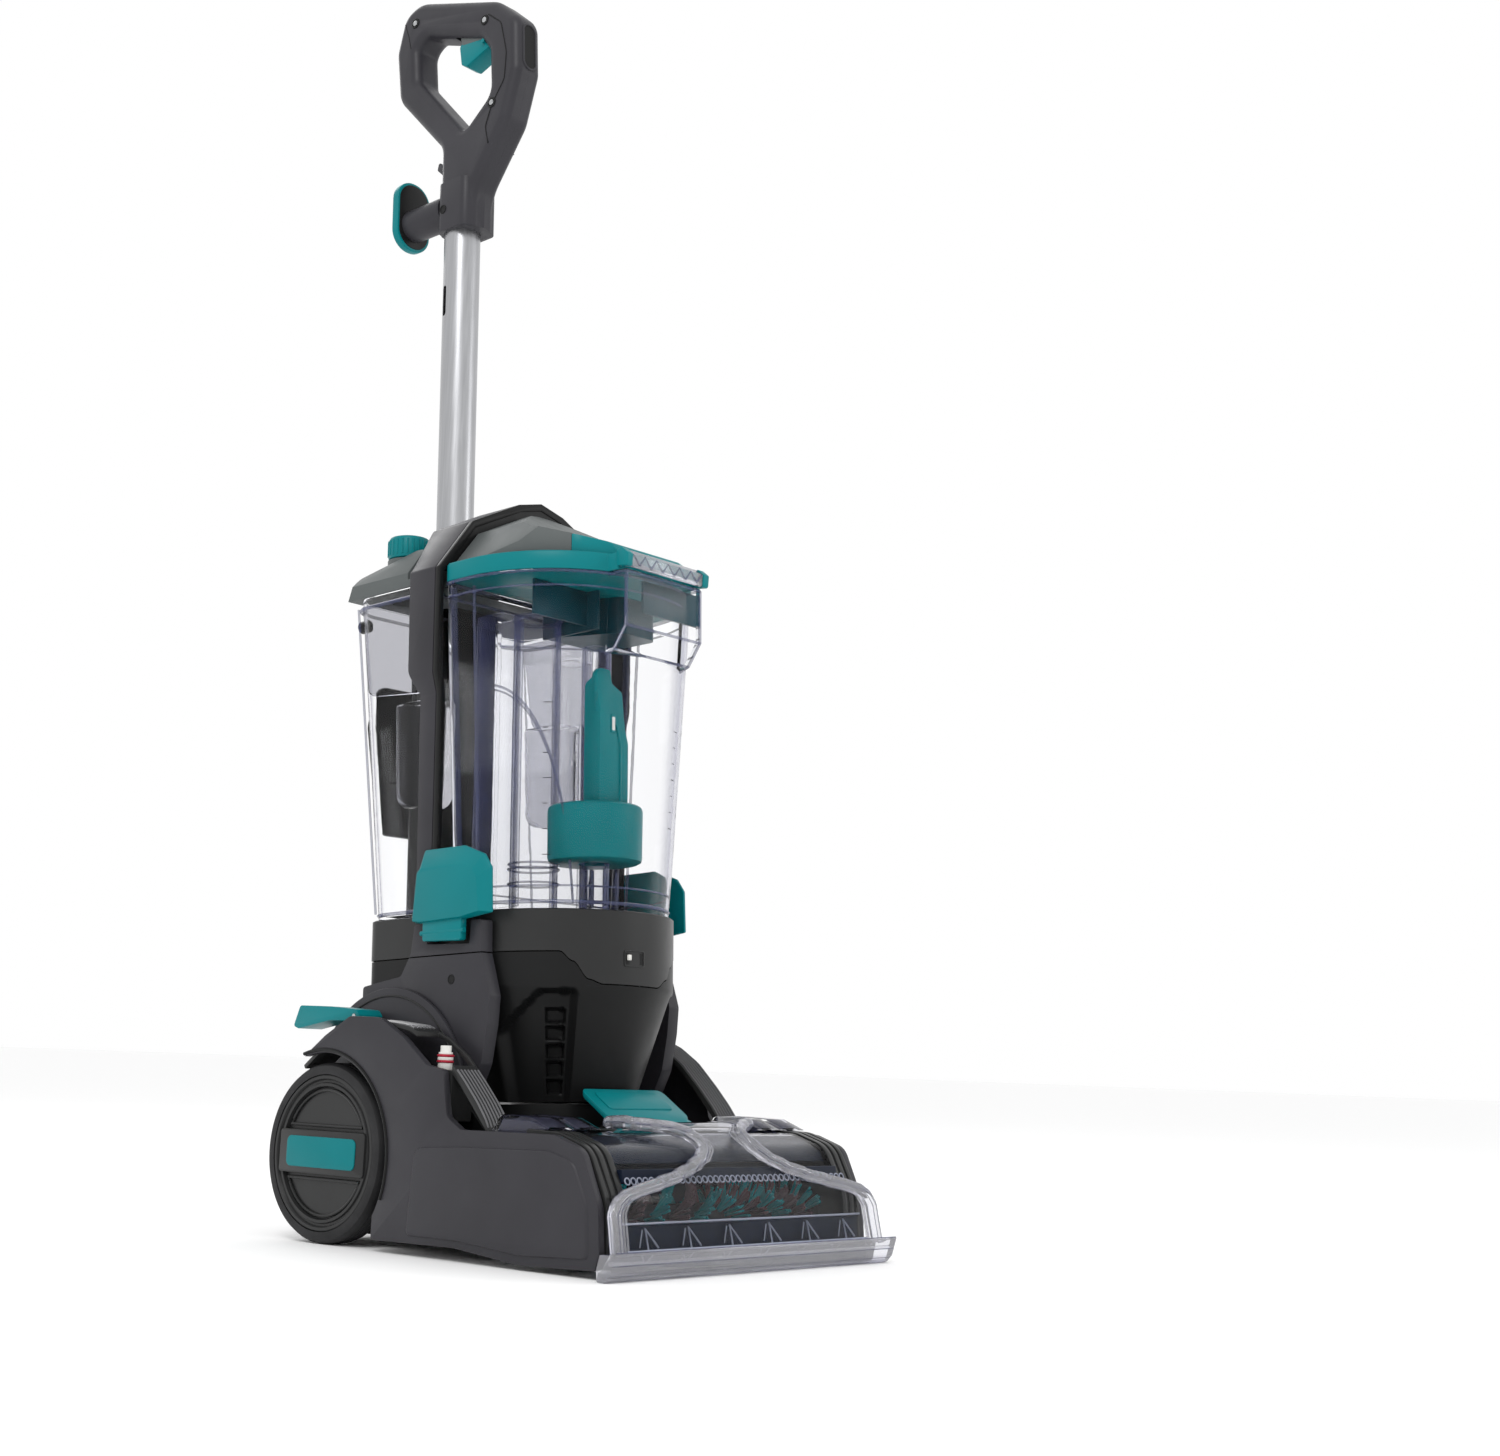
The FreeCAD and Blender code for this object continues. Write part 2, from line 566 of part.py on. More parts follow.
def power_unit():
    """Suction motor with its fan above it, and the water pump behind."""
    shaft = 4.0
    at_motor = FreeCAD.Placement(V(0, 14, 0), FreeCAD.Rotation())
    motor = [(shaft + D.run_gap, 118), (40, 118), (44, 124), (44, 176), (36, 184), (16, 184),
             (16, 190), (shaft + D.run_gap, 190)]
    keep("suction_motor", turned("suction_motor", [motor], "V_Axis"), LEANING * at_motor)
    fan = [(0, 130), (shaft, 130), (shaft, D.fan_low), (D.fan_radius, D.fan_low),
           (D.fan_radius, D.fan_high), (12, D.fan_high), (6, D.fan_high + 5),
           (0, D.fan_high + 5)]
    keep("suction_fan", turned("suction_fan", [fan], "V_Axis"), LEANING * at_motor)
    keep("pump", prism("pump", "XY_Plane", [[(-24, 70, 4), (24, 70, 4), (24, 86, 4),
                                             (-24, 86, 4)]], "130", "176"), LEANING)


def centre_frame():
    """Band that rises on both sides between the tanks and meets in a peak over the lid."""
    body = new_body("centre_frame")
    low, high, thick = D.band_low_in, D.band_high_in, D.band_thick
    outer = [(low + thick, 250), (low + thick, 436, 6), (high + thick - 1.2, 452, 6),
             (high + thick - 1.2, 540, 4), (78, 586, 4), (26, 612, 4), (0, 618.5)]
    inner = [(0, 612), (24, 606, 4), (75, 580.6, 4), (high - 1.2, 537, 4), (high - 1.2, 454, 6),
             (low, 438, 6), (low, 250)]
    path = outer + mirrored(outer[-2::-1]) + mirrored(inner[:0:-1]) + inner
    pad(body, "XZ_Plane", [path], "26.2", "76")
    trim = [(49, 240), (51, 436, 8), (62, 456, 8), (63, 545, 10), (78, 590), (100, 590),
            (100, 240)]
    pocket(body, "YZ_Plane", [trim], "-130", "130")
    keep("centre_frame", body, LEANING)


def spine():
    """Column behind the rear tank that holds the pole, tied to the band's peak."""
    body = new_body("spine")
    column = [(-D.spine_half, 113, 3), (D.spine_half, 113, 3), (D.spine_half, 158, 8),
              (-D.spine_half, 158, 8)]
    pad(body, "XY_Plane", [column], "Dims.collar_top + 0.2", "592")
    pad(body, "XY_Plane", [[(-20, 76), (20, 76), (20, 120), (-20, 120)]], "582", "602")
    pocket(body, "XY_Plane", [ring(0, D.pole_y, "Dims.pole_radius")], "Dims.pole_low", "610")
    keep("spine", body, LEANING)


def u_outline(half, front, back, inset, corner):
    """Section of the rear tank: it wraps round the spine, open to the back."""
    gap = D.spine_half + 1 + inset
    notch = 112 - inset
    return [(-half, front, 5), (half, front, 5), (half, back, corner), (gap, back, 3),
            (gap, notch, 2), (-gap, notch, 2), (-gap, back, 3), (-half, back, corner)]


def rear_tank():
    """Clean-water tank, its sloping top, and its turn-to-open filler cap."""
    wall = D.clear_wall
    body = new_body("rear_tank")
    low, high = u_outline(92, 53.5, 127, 0, 20), u_outline(101, 53.5, 154, 0, 26)
    top = "533"
    loft(body, "Additive", [("Dims.collar_top + 0.3", low), (top, high)])
    low_in = u_outline(92 - wall, 53.5 + wall, 127 - wall, wall, 17)
    high_in = u_outline(101 - wall, 53.5 + wall, 154 - wall, wall, 23)
    loft(body, "Subtractive", [("Dims.collar_top + 0.3 + Dims.clear_wall", low_in),
                               (top, high_in)])
    keep("rear_tank", body, LEANING)
    cover = new_body("rear_tank_top")
    side = [(53.5, 533.2), (53.5, 539), (79, 540), (79, 570, 5), (90, 571, 6), (148, 553, 8),
            (156, 533.2)]
    pad(cover, "YZ_Plane", [side], "-102", "102")
    for sign in SIDES.values():
        slope = [(sign * 103, 590), (sign * 66, 590), (sign * 84, 570), (sign * 102.4, 545)]
        pocket(cover, "XZ_Plane", [slope], "40", "170")
    pocket(cover, "XY_Plane", [[(-31, 100), (31, 100), (31, 170), (-31, 170)]], "500", "600")
    pad(cover, "XY_Plane", [ring(D.cap_x, D.cap_y, "Dims.cap_radius")], "545", "568.6")
    pocket(cover, "XY_Plane", [ring(D.cap_x, D.cap_y, "Dims.cap_radius - 3")], "530", "600")
    keep("rear_tank_top", cover, LEANING)
    at_cap = FreeCAD.Placement(V(D.cap_x, D.cap_y, 0), FreeCAD.Rotation())
    radius = D.cap_radius
    cap = [(0, 549), (radius - 3.1, 549), (radius - 3.1, 569), (radius, 569), (radius, 587, 2),
           (radius - 3, 589, 1.5), (0, 589)]
    body = turned("fill_cap", [cap], "V_Axis")
    keep("fill_cap", body, LEANING * at_cap)


def latch(name, side):
    """Side latch of the tank: a tapered plate that swings out on trunnions in its tongue."""
    outline = [(33, 234.4, 1), (33.4, 248.6), (46, 250, 2), (42, 292, 3), (37, 308, 5),
               (-9, 308, 8), (-32, 299, 8), (-41, 288, 5), (-42.6, 253, 2), (-12, 249.6),
               (-11.4, 232.6, 1)]
    body = prism(f"latch_{name}", "YZ_Plane", [outline], *side_span(side, "109.4", "118"))
    trunnion = ring(side * 113.7, 241, "Dims.small_pin")
    pad(body, "XZ_Plane", [trunnion], "-14", "36")
    keep(f"latch_{name}", body, LEANING)


def front_tank():
    """Recovery tank: D-shaped clear shell with a pouring spout, tubes standing in it."""
    wall = D.clear_wall
    body = new_body("tank_shell")
    low, high = D.tank_low_radius, D.tank_high_radius
    back = D.tank_back
    shoulder = low + (high - low) * 0.93
    low_at, mid_at, high_at = "Dims.collar_top - 7.6", "488", "Dims.tank_high"
    loft(body, "Additive", [(low_at, d_outline(low, back, 4)),
                            (mid_at, d_outline(shoulder, back, 4)),
                            (high_at, d_outline(high, back, 4))])
    spout = [(-80, 458), (-104, 462, 3), (D.spout_y, 480, 3), (D.spout_y, 527), (-80, 527)]
    pad(body, "YZ_Plane", [spout], "-Dims.spout_half", "Dims.spout_half")
    loft(body, "Subtractive", [(low_at + " + 3", d_outline(low - wall, back - wall, 2)),
                               (mid_at, d_outline(shoulder - wall, back - wall, 2)),
                               (high_at, d_outline(high - wall, back - wall, 2))])
    inside = [(-76, 461), (-102, 465, 2), (D.spout_y + wall, 482, 2), (D.spout_y + wall, 530),
              (-76, 530)]
    pocket(body, "YZ_Plane", [inside], "-Dims.spout_half + 2.6", "Dims.spout_half - 2.6")
    pocket(body, "XY_Plane", [ring(-32, -5, "Dims.riser_radius - 2.4")], "240", "262")
    keep("tank_shell", body, LEANING)
    tubes = []
    floor = D.collar_top - 4.5
    for x, y, radius, high in ((-32, -5, D.riser_radius, D.riser_high),
                               (D.float_x, D.float_y, D.guide_radius, D.guide_high)):
        outline = [(radius - 2.2, floor), (radius, floor), (radius, high), (radius - 2.2, high)]
        tube = turned("tank_tube", [outline], "V_Axis")
        tube.Placement.Base = V(x, y, 0)
        tubes.append(tube)
    keep("tank_tubes", group("tank_tubes", tubes), LEANING)


def float_unit():
    """Float: a cup that slides up its guide tube, and a tall stem plate beside the tube."""
    bore = D.guide_radius + 0.5
    body = new_body("float")
    pad(body, "XY_Plane", [ring(0, 0, "Dims.float_radius")], "Dims.float_low",
        "Dims.float_high")
    pocket(body, "XY_Plane", [ring(0, 0, "Dims.guide_radius + 0.5")], "Dims.float_low - 1",
           "Dims.float_high + 1")
    stem = [(-20, -bore - 6, 2), (16, -bore - 6, 2), (16, -bore - 1, 2), (-20, -bore - 1, 2)]
    pad(body, "XY_Plane", [stem], "Dims.float_high", "Dims.float_stem_high")
    pocket(body, "XY_Plane", [ring(-26, 43, "Dims.riser_radius + 1.2")],
           "Dims.float_low - 1", "Dims.float_high + 1")
    at_float = FreeCAD.Placement(V(D.float_x, D.float_y, 0), FreeCAD.Rotation())
    keep("float", body, LEANING * at_float)


def tank_lid():
    """Lid: teal rim and inner separator, grey peaked roof, and the clear front latch bar."""
    body = new_body("tank_lid")
    half = D.tank_high_radius + 1.4
    pad(body, "XY_Plane", [d_outline(half, D.tank_back + 0.8, 5)], "Dims.tank_high + 0.2",
        "Dims.lid_high")
    pad(body, "XY_Plane", [[(-46, -80), (-46, -110, 3), (46, -110, 3), (46, -80)]],
        "Dims.tank_high + 0.2", "Dims.lid_high")
    baffle = [(-8, 14, 4), (62, 14, 4), (62, -52, 8), (20, -52, 8)]
    pad(body, "XY_Plane", [baffle], "496", "Dims.tank_high + 0.2")
    keep("tank_lid", body, LEANING)
    roof = new_body("lid_roof")
    side = [(24.8, 541), (24.8, 606, 2), (-44, 568, 12), (-96, 553, 6), (-102, 541)]
    pad(roof, "YZ_Plane", [side], "-100", "100")
    for sign in SIDES.values():
        slope = [(sign * 101, 541.5), (sign * 101, 620), (0, 620), (0, 606.2), (sign * 24, 600),
                 (sign * 74, 575)]
        pocket(roof, "XZ_Plane", [slope], "-110", "30")
    for sign in SIDES.values():
        flank = [(sign * 101, -110), (sign * 20, -110), (sign * 60, -84), (sign * 92, -44),
                 (sign * 100.5, 0)]
        pocket(roof, "XY_Plane", [flank], "541", "620")
    keep("lid_roof", roof, LEANING)
    bar = prism("lid_latch", "YZ_Plane", [[(-110.6, 531, 1), (-110.6, 541, 3), (-116, 543, 3),
                                           (-122, 538, 3), (-121, 528, 2), (-117.4, 527.4),
                                           (-117.2, 531)]], "-48", "48")
    pad(bar, "YZ_Plane", [ring(-112, 540.4, "Dims.small_pin / 2")], "-50", "50")
    keep("lid_latch", bar, LEANING)


def rear_hook():
    """Lower cord hook: a wide tapered plate on a stem behind the spine."""
    body = prism("lower_cord_hook", "YZ_Plane", [[(158, 392), (158, 428), (200, 428),
                                                  (200, 392)]], "-13", "13")
    plate = [(-22, 345, 8), (22, 345, 8), (36, 440, 10), (30, 478, 16), (-30, 478, 16),
             (-36, 440, 10)]
    pad(body, "XZ_Plane", [plate], "200", "206")
    keep("lower_cord_hook", body, LEANING)


def pole():
    """Aluminium tube with a keyhole slot near its top, and the valve rod inside it."""
    body = new_body("pole")
    pad(body, "XY_Plane", [ring(0, 0, "Dims.pole_radius"),
                           ring(0, 0, "Dims.pole_radius - Dims.pole_wall")],
        "Dims.pole_low", "Dims.pole_high")
    slot = [(-3, 816, 2.9), (3, 816, 2.9), (3, 845, 2.9), (-3, 845, 2.9)]
    pocket(body, "XZ_Plane", [slot], "0", "20")
    at_pole = FreeCAD.Placement(V(0, D.pole_y, 0), FreeCAD.Rotation(Z, 40))
    keep("pole", body, LEANING * at_pole)
    at_rod = FreeCAD.Placement(V(0, D.pole_y, 0), FreeCAD.Rotation())
    rod = turned("valve_rod", [[(0, 520), (D.rod_radius, 520), (D.rod_radius, 968),
                                (0, 968)]], "V_Axis")
    keep("valve_rod", rod, LEANING * at_rod)


def handle_outline():
    return [(154, 884), (154, 984, 20), (217, 1052, 24), (223, 1102, 24), (212, 1138, 22),
            (190, 1146, 30), (84, 1109, 34), (54, 1082, 20), (52, 1032, 20), (67, 986, 30),
            (110, 930, 40), (110, 884)]


def opening_outline():
    return [(124, 992, 8), (189, 1064, 14), (192, 1100, 10), (180, 1107, 10), (104, 1078, 14),
            (92, 1062, 12), (90, 1018, 16)]


def handle():
    """Loop handle in two moulded halves, screwed together, with a plain name plate."""
    for name, side in SIDES.items():
        body = new_body(f"handle_{name}")
        pad(body, "YZ_Plane", [handle_outline(), opening_outline()],
            *side_span(side, "0.02", "Dims.grip_half"))
        doc.recompute()
        plate = body.Tip
        edges = [f"Edge{i + 1}" for i, edge in enumerate(plate.Shape.Edges)
                 if abs(abs(edge.CenterOfMass.x) - D.grip_half) < 0.01
                 and abs(edge.BoundBox.XLength) < 0.01 and edge.CenterOfMass.z > 886]
        rounding = body.newObject("PartDesign::Fillet", "handle_round")
        rounding.Base = (plate, edges)
        rounding.Radius = 9
        pad(body, "XY_Plane", [[(side * 0.02, 108, 0), (side * 20, 114, 8), (side * 20, 150, 8),
                                (side * 0.02, 154.5, 0)]], "884", "944")
        pocket(body, "XY_Plane", [ring(0, D.pole_y, "Dims.pole_radius")], "880",
               "Dims.pole_high + 0.2")
        pocket(body, "XY_Plane", [ring(0, D.pole_y, "Dims.rod_radius + 1")], "880", "980")
        slot = [(86, 1060), (142, 1082), (142, 1101), (86, 1080)]
        pocket(body, "YZ_Plane", [slot], *side_span(side, "0", "Dims.trigger_half + 0.5"))
        pocket(body, "YZ_Plane", [ring(D.trigger_y, D.trigger_z,
                                       "Dims.small_pin + Dims.run_gap")],
               *side_span(side, "0", "Dims.trigger_half + 3.2"))
        keep(f"handle_{name}", body, LEANING)
    screws, holes = [], []
    for y, z in ((193, 1124), (96, 1092), (84, 1006)):
        face = V(-D.grip_half - 0.4, y, z)
        screws.append(cylinder("screw", "2.6", "4", face, X))
        holes.append(cylinder("screw_hole", "2.6", "4", face, X))
    plain = parts.pop("handle_left")
    plain.Label, plain.Placement = "handle_left_blank", FreeCAD.Placement()
    drilled = combine("Cut", "handle_left_drilled", plain, group("screw_holes", holes))
    keep("handle_left", drilled, LEANING)
    keep("handle_screws", group("handle_screws", screws), LEANING)


def handle_fittings():
    """Name plate, trigger, cord clip and the swivelling upper cord hook."""
    plate = prism("handle_label", "YZ_Plane", [[(51, 1037), (52.4, 1073), (53.6, 1073),
                                                (52.16, 1037)]], "-6.8", "6.8")
    keep("handle_label", plate, LEANING)
    outline = [(96, 1057, 2), (128, 1060, 3), (134, 1090, 3), (104, 1083, 6), (94, 1068, 3)]
    body = prism("trigger", "YZ_Plane", [outline], "-Dims.trigger_half", "Dims.trigger_half")
    pad(body, "YZ_Plane", [ring(D.trigger_y, D.trigger_z, "Dims.small_pin")],
        "-Dims.trigger_half - 3", "Dims.trigger_half + 3")
    keep("trigger", body, LEANING)
    clip = prism("cord_clip", "YZ_Plane", [[(154.2, 954), (154.2, 975), (158, 975, 1),
                                            (158, 971), (167, 978, 2), (169, 970, 2),
                                            (158, 960), (158, 954, 1)]], "-5", "5")
    keep("cord_clip", clip, LEANING)
    hook = new_body("upper_cord_hook")
    pad(hook, "XZ_Plane", [ring(0, D.hook_z, "Dims.hook_radius")], "155", "206")
    disc = [(-20, D.hook_z - 24, 19), (20, D.hook_z - 24, 19), (20, D.hook_z + 44, 19),
            (-20, D.hook_z + 44, 19)]
    pad(hook, "XZ_Plane", [disc], "206", "214")
    keep("upper_cord_hook", hook, LEANING)


# ---------------------------------------------------------------- build and write

def build():
    base_chassis()
    for name, side in SIDES.items():
        side_panel(name, side)
        fender(name, side)
        wheel(name, side)
        latch(name, side)
    pins()
    pedal()
    hinge_pins()
    nipple()
    deck_and_duct()
    port_door()
    nozzle()
    brush()
    belt()
    housing()
    collar()
    hips()
    power_unit()
    centre_frame()
    spine()
    rear_tank()
    front_tank()
    float_unit()
    tank_lid()
    rear_hook()
    pole()
    handle()
    handle_fittings()


def check_and_write():
    doc.recompute()
    for item in doc.Objects:
        if "Invalid" in item.State or "Error" in item.State:
            raise RuntimeError(f"{item.Label} failed: {item.State}")
    for label, item in parts.items():
        shape = item.Shape
        if shape.isNull() or not shape.isValid() or shape.Volume <= 0:
            raise RuntimeError(f"{label} has no valid shape")
    os.makedirs("parts", exist_ok=True)
    for label, item in parts.items():
        item.Shape.exportStep(f"parts/{label}.step")
    print(len(parts), "sub-parts written")


build()
check_and_write()
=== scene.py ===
import json
import random
from math import asin, atan2, cos, degrees, pi, radians, sin, sqrt, tan

import bmesh
import bpy
from mathutils import Matrix, Vector


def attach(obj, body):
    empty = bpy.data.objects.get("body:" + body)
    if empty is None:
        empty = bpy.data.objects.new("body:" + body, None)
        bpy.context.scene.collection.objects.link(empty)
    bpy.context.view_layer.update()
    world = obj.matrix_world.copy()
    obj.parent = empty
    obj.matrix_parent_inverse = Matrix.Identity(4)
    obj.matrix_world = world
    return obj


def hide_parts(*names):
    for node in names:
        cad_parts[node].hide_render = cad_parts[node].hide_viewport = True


# Carpet cleaner: fine shapes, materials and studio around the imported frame. Shapes are drawn in
# millimetres in the machine's design frame (front towards -Y, floor at z = 0) and carried into
# the row frame, which is in metres, by BASE for the floor base and by UPRIGHT for what leans.

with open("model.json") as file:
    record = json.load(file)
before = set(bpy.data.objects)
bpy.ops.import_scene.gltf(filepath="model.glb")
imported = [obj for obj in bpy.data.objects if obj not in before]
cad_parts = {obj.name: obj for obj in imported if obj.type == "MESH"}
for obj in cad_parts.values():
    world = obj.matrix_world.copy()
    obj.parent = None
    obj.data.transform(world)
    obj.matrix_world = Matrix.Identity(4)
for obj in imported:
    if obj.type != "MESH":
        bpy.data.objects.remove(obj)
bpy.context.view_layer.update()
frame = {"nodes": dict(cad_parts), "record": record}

# Design frame to row frame along Y in mm; how far back the upright leans, and about where.
DATUM_Y = -21.38
LEAN = radians(2.82)
PIVOT = Vector((0, 75, 110))
BASE = Matrix.Scale(0.001, 4) @ Matrix.Translation((0, DATUM_Y, 0))
UPRIGHT = (BASE @ Matrix.Translation(PIVOT) @ Matrix.Rotation(-LEAN, 4, "X")
           @ Matrix.Translation(-PIVOT))
SIDES = {"left": -1, "right": 1}
BOTH = tuple(SIDES.values())
SLOTS = {row["node"]: row["material_slot"] for row in frame["record"]["subparts"]}
BODIES = {node: body for body, nodes in frame["record"]["behaviour"]["bodies"].items()
          for node in nodes}
BASE_BODIES = ("base", "wheel_left", "wheel_right", "brush", "brush_drive", "pedal", "port_door")


# -------- materials

class Nodes:
    """Short calls for making one node material."""

    def __init__(self, name):
        self.material = bpy.data.materials.new(name)
        self.material.use_nodes = True
        self.tree = self.material.node_tree
        self.shader = self.tree.nodes["Principled BSDF"]
        self.coords = self.tree.nodes.new("ShaderNodeTexCoord").outputs["Object"]

    def add(self, kind, **values):
        node = self.tree.nodes.new("ShaderNode" + kind)
        for key, value in values.items():
            node.inputs[key.replace("_", " ")].default_value = value
        return node

    def link(self, source, target):
        self.tree.links.new(source, target)

    def noise(self, scale, detail=3.0, stretch=None):
        node = self.add("TexNoise", Scale=scale, Detail=detail)
        source = self.coords
        if stretch:
            mapping = self.add("Mapping", Scale=stretch)
            self.link(source, mapping.inputs["Vector"])
            source = mapping.outputs["Vector"]
        self.link(source, node.inputs["Vector"])
        return node.outputs["Fac"]

    def ramp(self, source, low, high, start=0.3, end=0.7):
        node = self.add("ValToRGB")
        for stop, place, colour in zip(node.color_ramp.elements, (start, end), (low, high)):
            stop.position = place
            stop.color = (*colour, 1)
        self.link(source, node.inputs["Fac"])
        return node.outputs["Color"]

    def spread(self, source, low, high):
        node = self.add("MapRange", To_Min=low, To_Max=high)
        self.link(source, node.inputs["Value"])
        return node.outputs["Result"]

    def bump(self, source, strength, distance):
        node = self.add("Bump", Strength=strength, Distance=distance)
        self.link(source, node.inputs["Height"])
        self.link(node.outputs["Normal"], self.shader.inputs["Normal"])

    def feed(self, **sources):
        for key, source in sources.items():
            self.link(source, self.shader.inputs[key.replace("_", " ")])

    def set(self, **values):
        for key, value in values.items():
            self.shader.inputs[key.replace("_", " ")].default_value = value


def moulded(name, colour, roughness, gloss, grain=0.10, drift=1.25):
    """Moulded plastic: slight colour drift, uneven gloss and a fine spark-eroded grain."""
    n = Nodes(name)
    n.feed(Base_Color=n.ramp(n.noise(16, 4), colour, [c * drift for c in colour]),
           Roughness=n.spread(n.noise(70, 3), roughness - 0.06, roughness + 0.08))
    n.bump(n.noise(2200, 2), grain, 0.0003)
    n.set(Specular_IOR_Level=gloss)
    return n.material


def clear(name, tint, edge, roughness=0.02, index=1.14, through=1.0):
    """Clear polycarbonate with faint waves; darker and bluer where it is seen edge-on, a painted
    reflection of dark surroundings.
    """
    n = Nodes(name)
    facing = n.add("LayerWeight", Blend=0.42).outputs["Facing"]
    # The colour turns from tint to edge towards grazing view; edge is a painted dark reflection.
    n.feed(Base_Color=n.ramp(facing, tint, edge, 0.45, 0.97),
           Roughness=n.spread(n.noise(300, 3, (1, 1, 0.1)), roughness * 0.5, roughness * 2))
    n.bump(n.noise(26, 2), 0.06, 0.002)
    n.set(IOR=index, Transmission_Weight=through)
    return n.material


def sheer(name, tint, face, rim):
    """Thin clear parts inside a tank: nearly unseen face-on, with a painted dark reflection along
    their edges.
    """
    n = Nodes(name)
    facing = n.add("LayerWeight", Blend=0.5).outputs["Facing"]
    strength = n.add("MapRange", From_Min=0.30, From_Max=0.95, To_Min=face, To_Max=rim)
    n.link(facing, strength.inputs["Value"])
    # The tint shows most where the part is seen edge-on, as a painted dark edge reflection.
    n.feed(Alpha=strength.outputs["Result"],
           Base_Color=n.ramp(n.noise(30, 3), tint, [c * 1.5 for c in tint]),
           Roughness=n.spread(n.noise(300, 2), 0.05, 0.12))
    n.bump(n.noise(40, 2), 0.05, 0.001)
    return n.material


def metal(name, colour, roughness, stretch):
    """Drawn or turned metal: fine lines along its run."""
    n = Nodes(name)
    lines = n.noise(600, 4, stretch)
    n.feed(Base_Color=n.ramp(lines, [c * 0.84 for c in colour], colour),
           Roughness=n.spread(lines, roughness - 0.06, roughness + 0.08))
    n.bump(lines, 0.06, 0.0002)
    n.set(Metallic=1.0)
    return n.material


def rubber(name, colour, roughness=0.6):
    """Rubber or nylon: dusty lighter patches and a matt grain."""
    n = Nodes(name)
    n.feed(Base_Color=n.ramp(n.noise(45, 4), colour, [c * 1.5 + 0.004 for c in colour]),
           Roughness=n.spread(n.noise(200, 3), roughness - 0.08, roughness + 0.1))
    n.bump(n.noise(1300, 2), 0.2, 0.0004)
    n.set(Specular_IOR_Level=0.3)
    return n.material


# One material for each slot; the numbers follow the names in the functions above.
MATERIALS = {name: kind(name, *values) for name, kind, *values in (
    ("charcoal_plastic", moulded, (0.027, 0.0262, 0.031), 0.40, 0.24),
    ("black_plastic", moulded, (0.0070, 0.0072, 0.0074), 0.38, 0.17),
    ("inner_plastic", moulded, (0.02, 0.021, 0.026), 0.45, 0.2),
    ("teal_plastic", moulded, (0.0, 0.162, 0.178), 0.34, 0.16, 0.03, 1.1),
    ("smoke_plastic", moulded, (0.088, 0.098, 0.098), 0.5, 0.2, 0.03, 1.12),
    ("white_plastic", moulded, (0.66, 0.65, 0.62), 0.35, 0.5, 0.10, 1.06),
    # The second colour of each clear material is its painted dark edge reflection.
    ("clear_plastic", clear, (0.985, 0.987, 0.995), (0.10, 0.10, 0.24)),
    ("aluminium_tube", metal, (0.43, 0.435, 0.45), 0.33, (1, 1, 0.02)),
    ("steel", metal, (0.52, 0.53, 0.54), 0.25, (0.05, 1, 1)),
    ("tyre_rubber", rubber, (0.010, 0.010, 0.011)),
    ("belt_rubber", rubber, (0.012, 0.012, 0.012)),
    ("seal_rubber", rubber, (0.30, 0.008, 0.024), 0.4),
    ("bristle", rubber, (0.0, 0.24, 0.27), 0.5))}
# Finishes of single pieces that differ from the rest of their slot.
SATIN = moulded("collar_satin", (0.0165, 0.0168, 0.017), 0.32, 0.28)
MAROON_BRISTLE = rubber("bristle_maroon", (0.125, 0.075, 0.085), 0.5)
# Its second colour is the painted dark edge reflection.
SMOKED = clear("smoked_clear", (0.50, 0.50, 0.53), (0.05, 0.05, 0.08), 0.05)
SEPARATOR_TEAL = moulded("separator_teal", (0.0, 0.035, 0.052), 0.3, 0.25, 0.03)
NAVY = moulded("navy_inner", (0.006, 0.010, 0.022), 0.42, 0.12, 0.04)
# Its second colour is the painted dark edge reflection.
GLOSSY_CLEAR = clear("glossy_clear", (0.95, 0.95, 0.99), (0.10, 0.10, 0.28), 0.05, 1.42, 0.84)
# Fender ribs lighter grey than the fender: a painted highlight along the ribs.
RIB_HIGHLIGHT = moulded("rib_painted_highlight", (0.085, 0.085, 0.09), 0.3, 0.6, 0.03)
PANEL = moulded("panel_violet", (0.035, 0.036, 0.058), 0.3, 0.4, 0.03)
# Light grey on the clear spray rings and nozzle stiffeners: painted glints.
RING_GLINT = moulded("ring_painted_glint", (0.24, 0.26, 0.33), 0.2, 0.5, 0.02)
# Dark blue tint of SHEER and LINED, strongest edge-on: painted edge reflection. LINED colours
# thin lines along clear beads, rims and ribs.
SHEER = sheer("sheer_clear", (0.07, 0.08, 0.20), 0.05, 0.95)
LINED = sheer("lined_clear", (0.06, 0.07, 0.15), 0.35, 0.8)
NODE_MATERIALS = {"tank_tubes": SHEER}


# -------- shape helpers

def rounded(points, steps=6):
    """Outline with rounded corners; a point is (a, b) or (a, b, corner radius)."""
    outline = []
    for i, point in enumerate(points):
        here = Vector(point[:2])
        if len(point) < 3:
            outline.append(here)
            continue
        before = (Vector(points[i - 1][:2]) - here).normalized()
        after = (Vector(points[(i + 1) % len(points)][:2]) - here).normalized()
        half = before.angle(after) / 2
        centre = here + (before + after).normalized() * point[2] / sin(half)
        first = here + before * point[2] / tan(half) - centre
        last = here + after * point[2] / tan(half) - centre
        turn = atan2(first.cross(last), first.dot(last))
        for k in range(steps + 1):
            outline.append(centre + Matrix.Rotation(turn * k / steps, 2) @ first)
    return outline


def rectangle(low, high, corner, steps=4):
    """Rectangle between two opposite corners, all four rounded alike."""
    return rounded([(*low, corner), (high[0], low[1], corner), (*high, corner),
                    (low[0], high[1], corner)], steps)


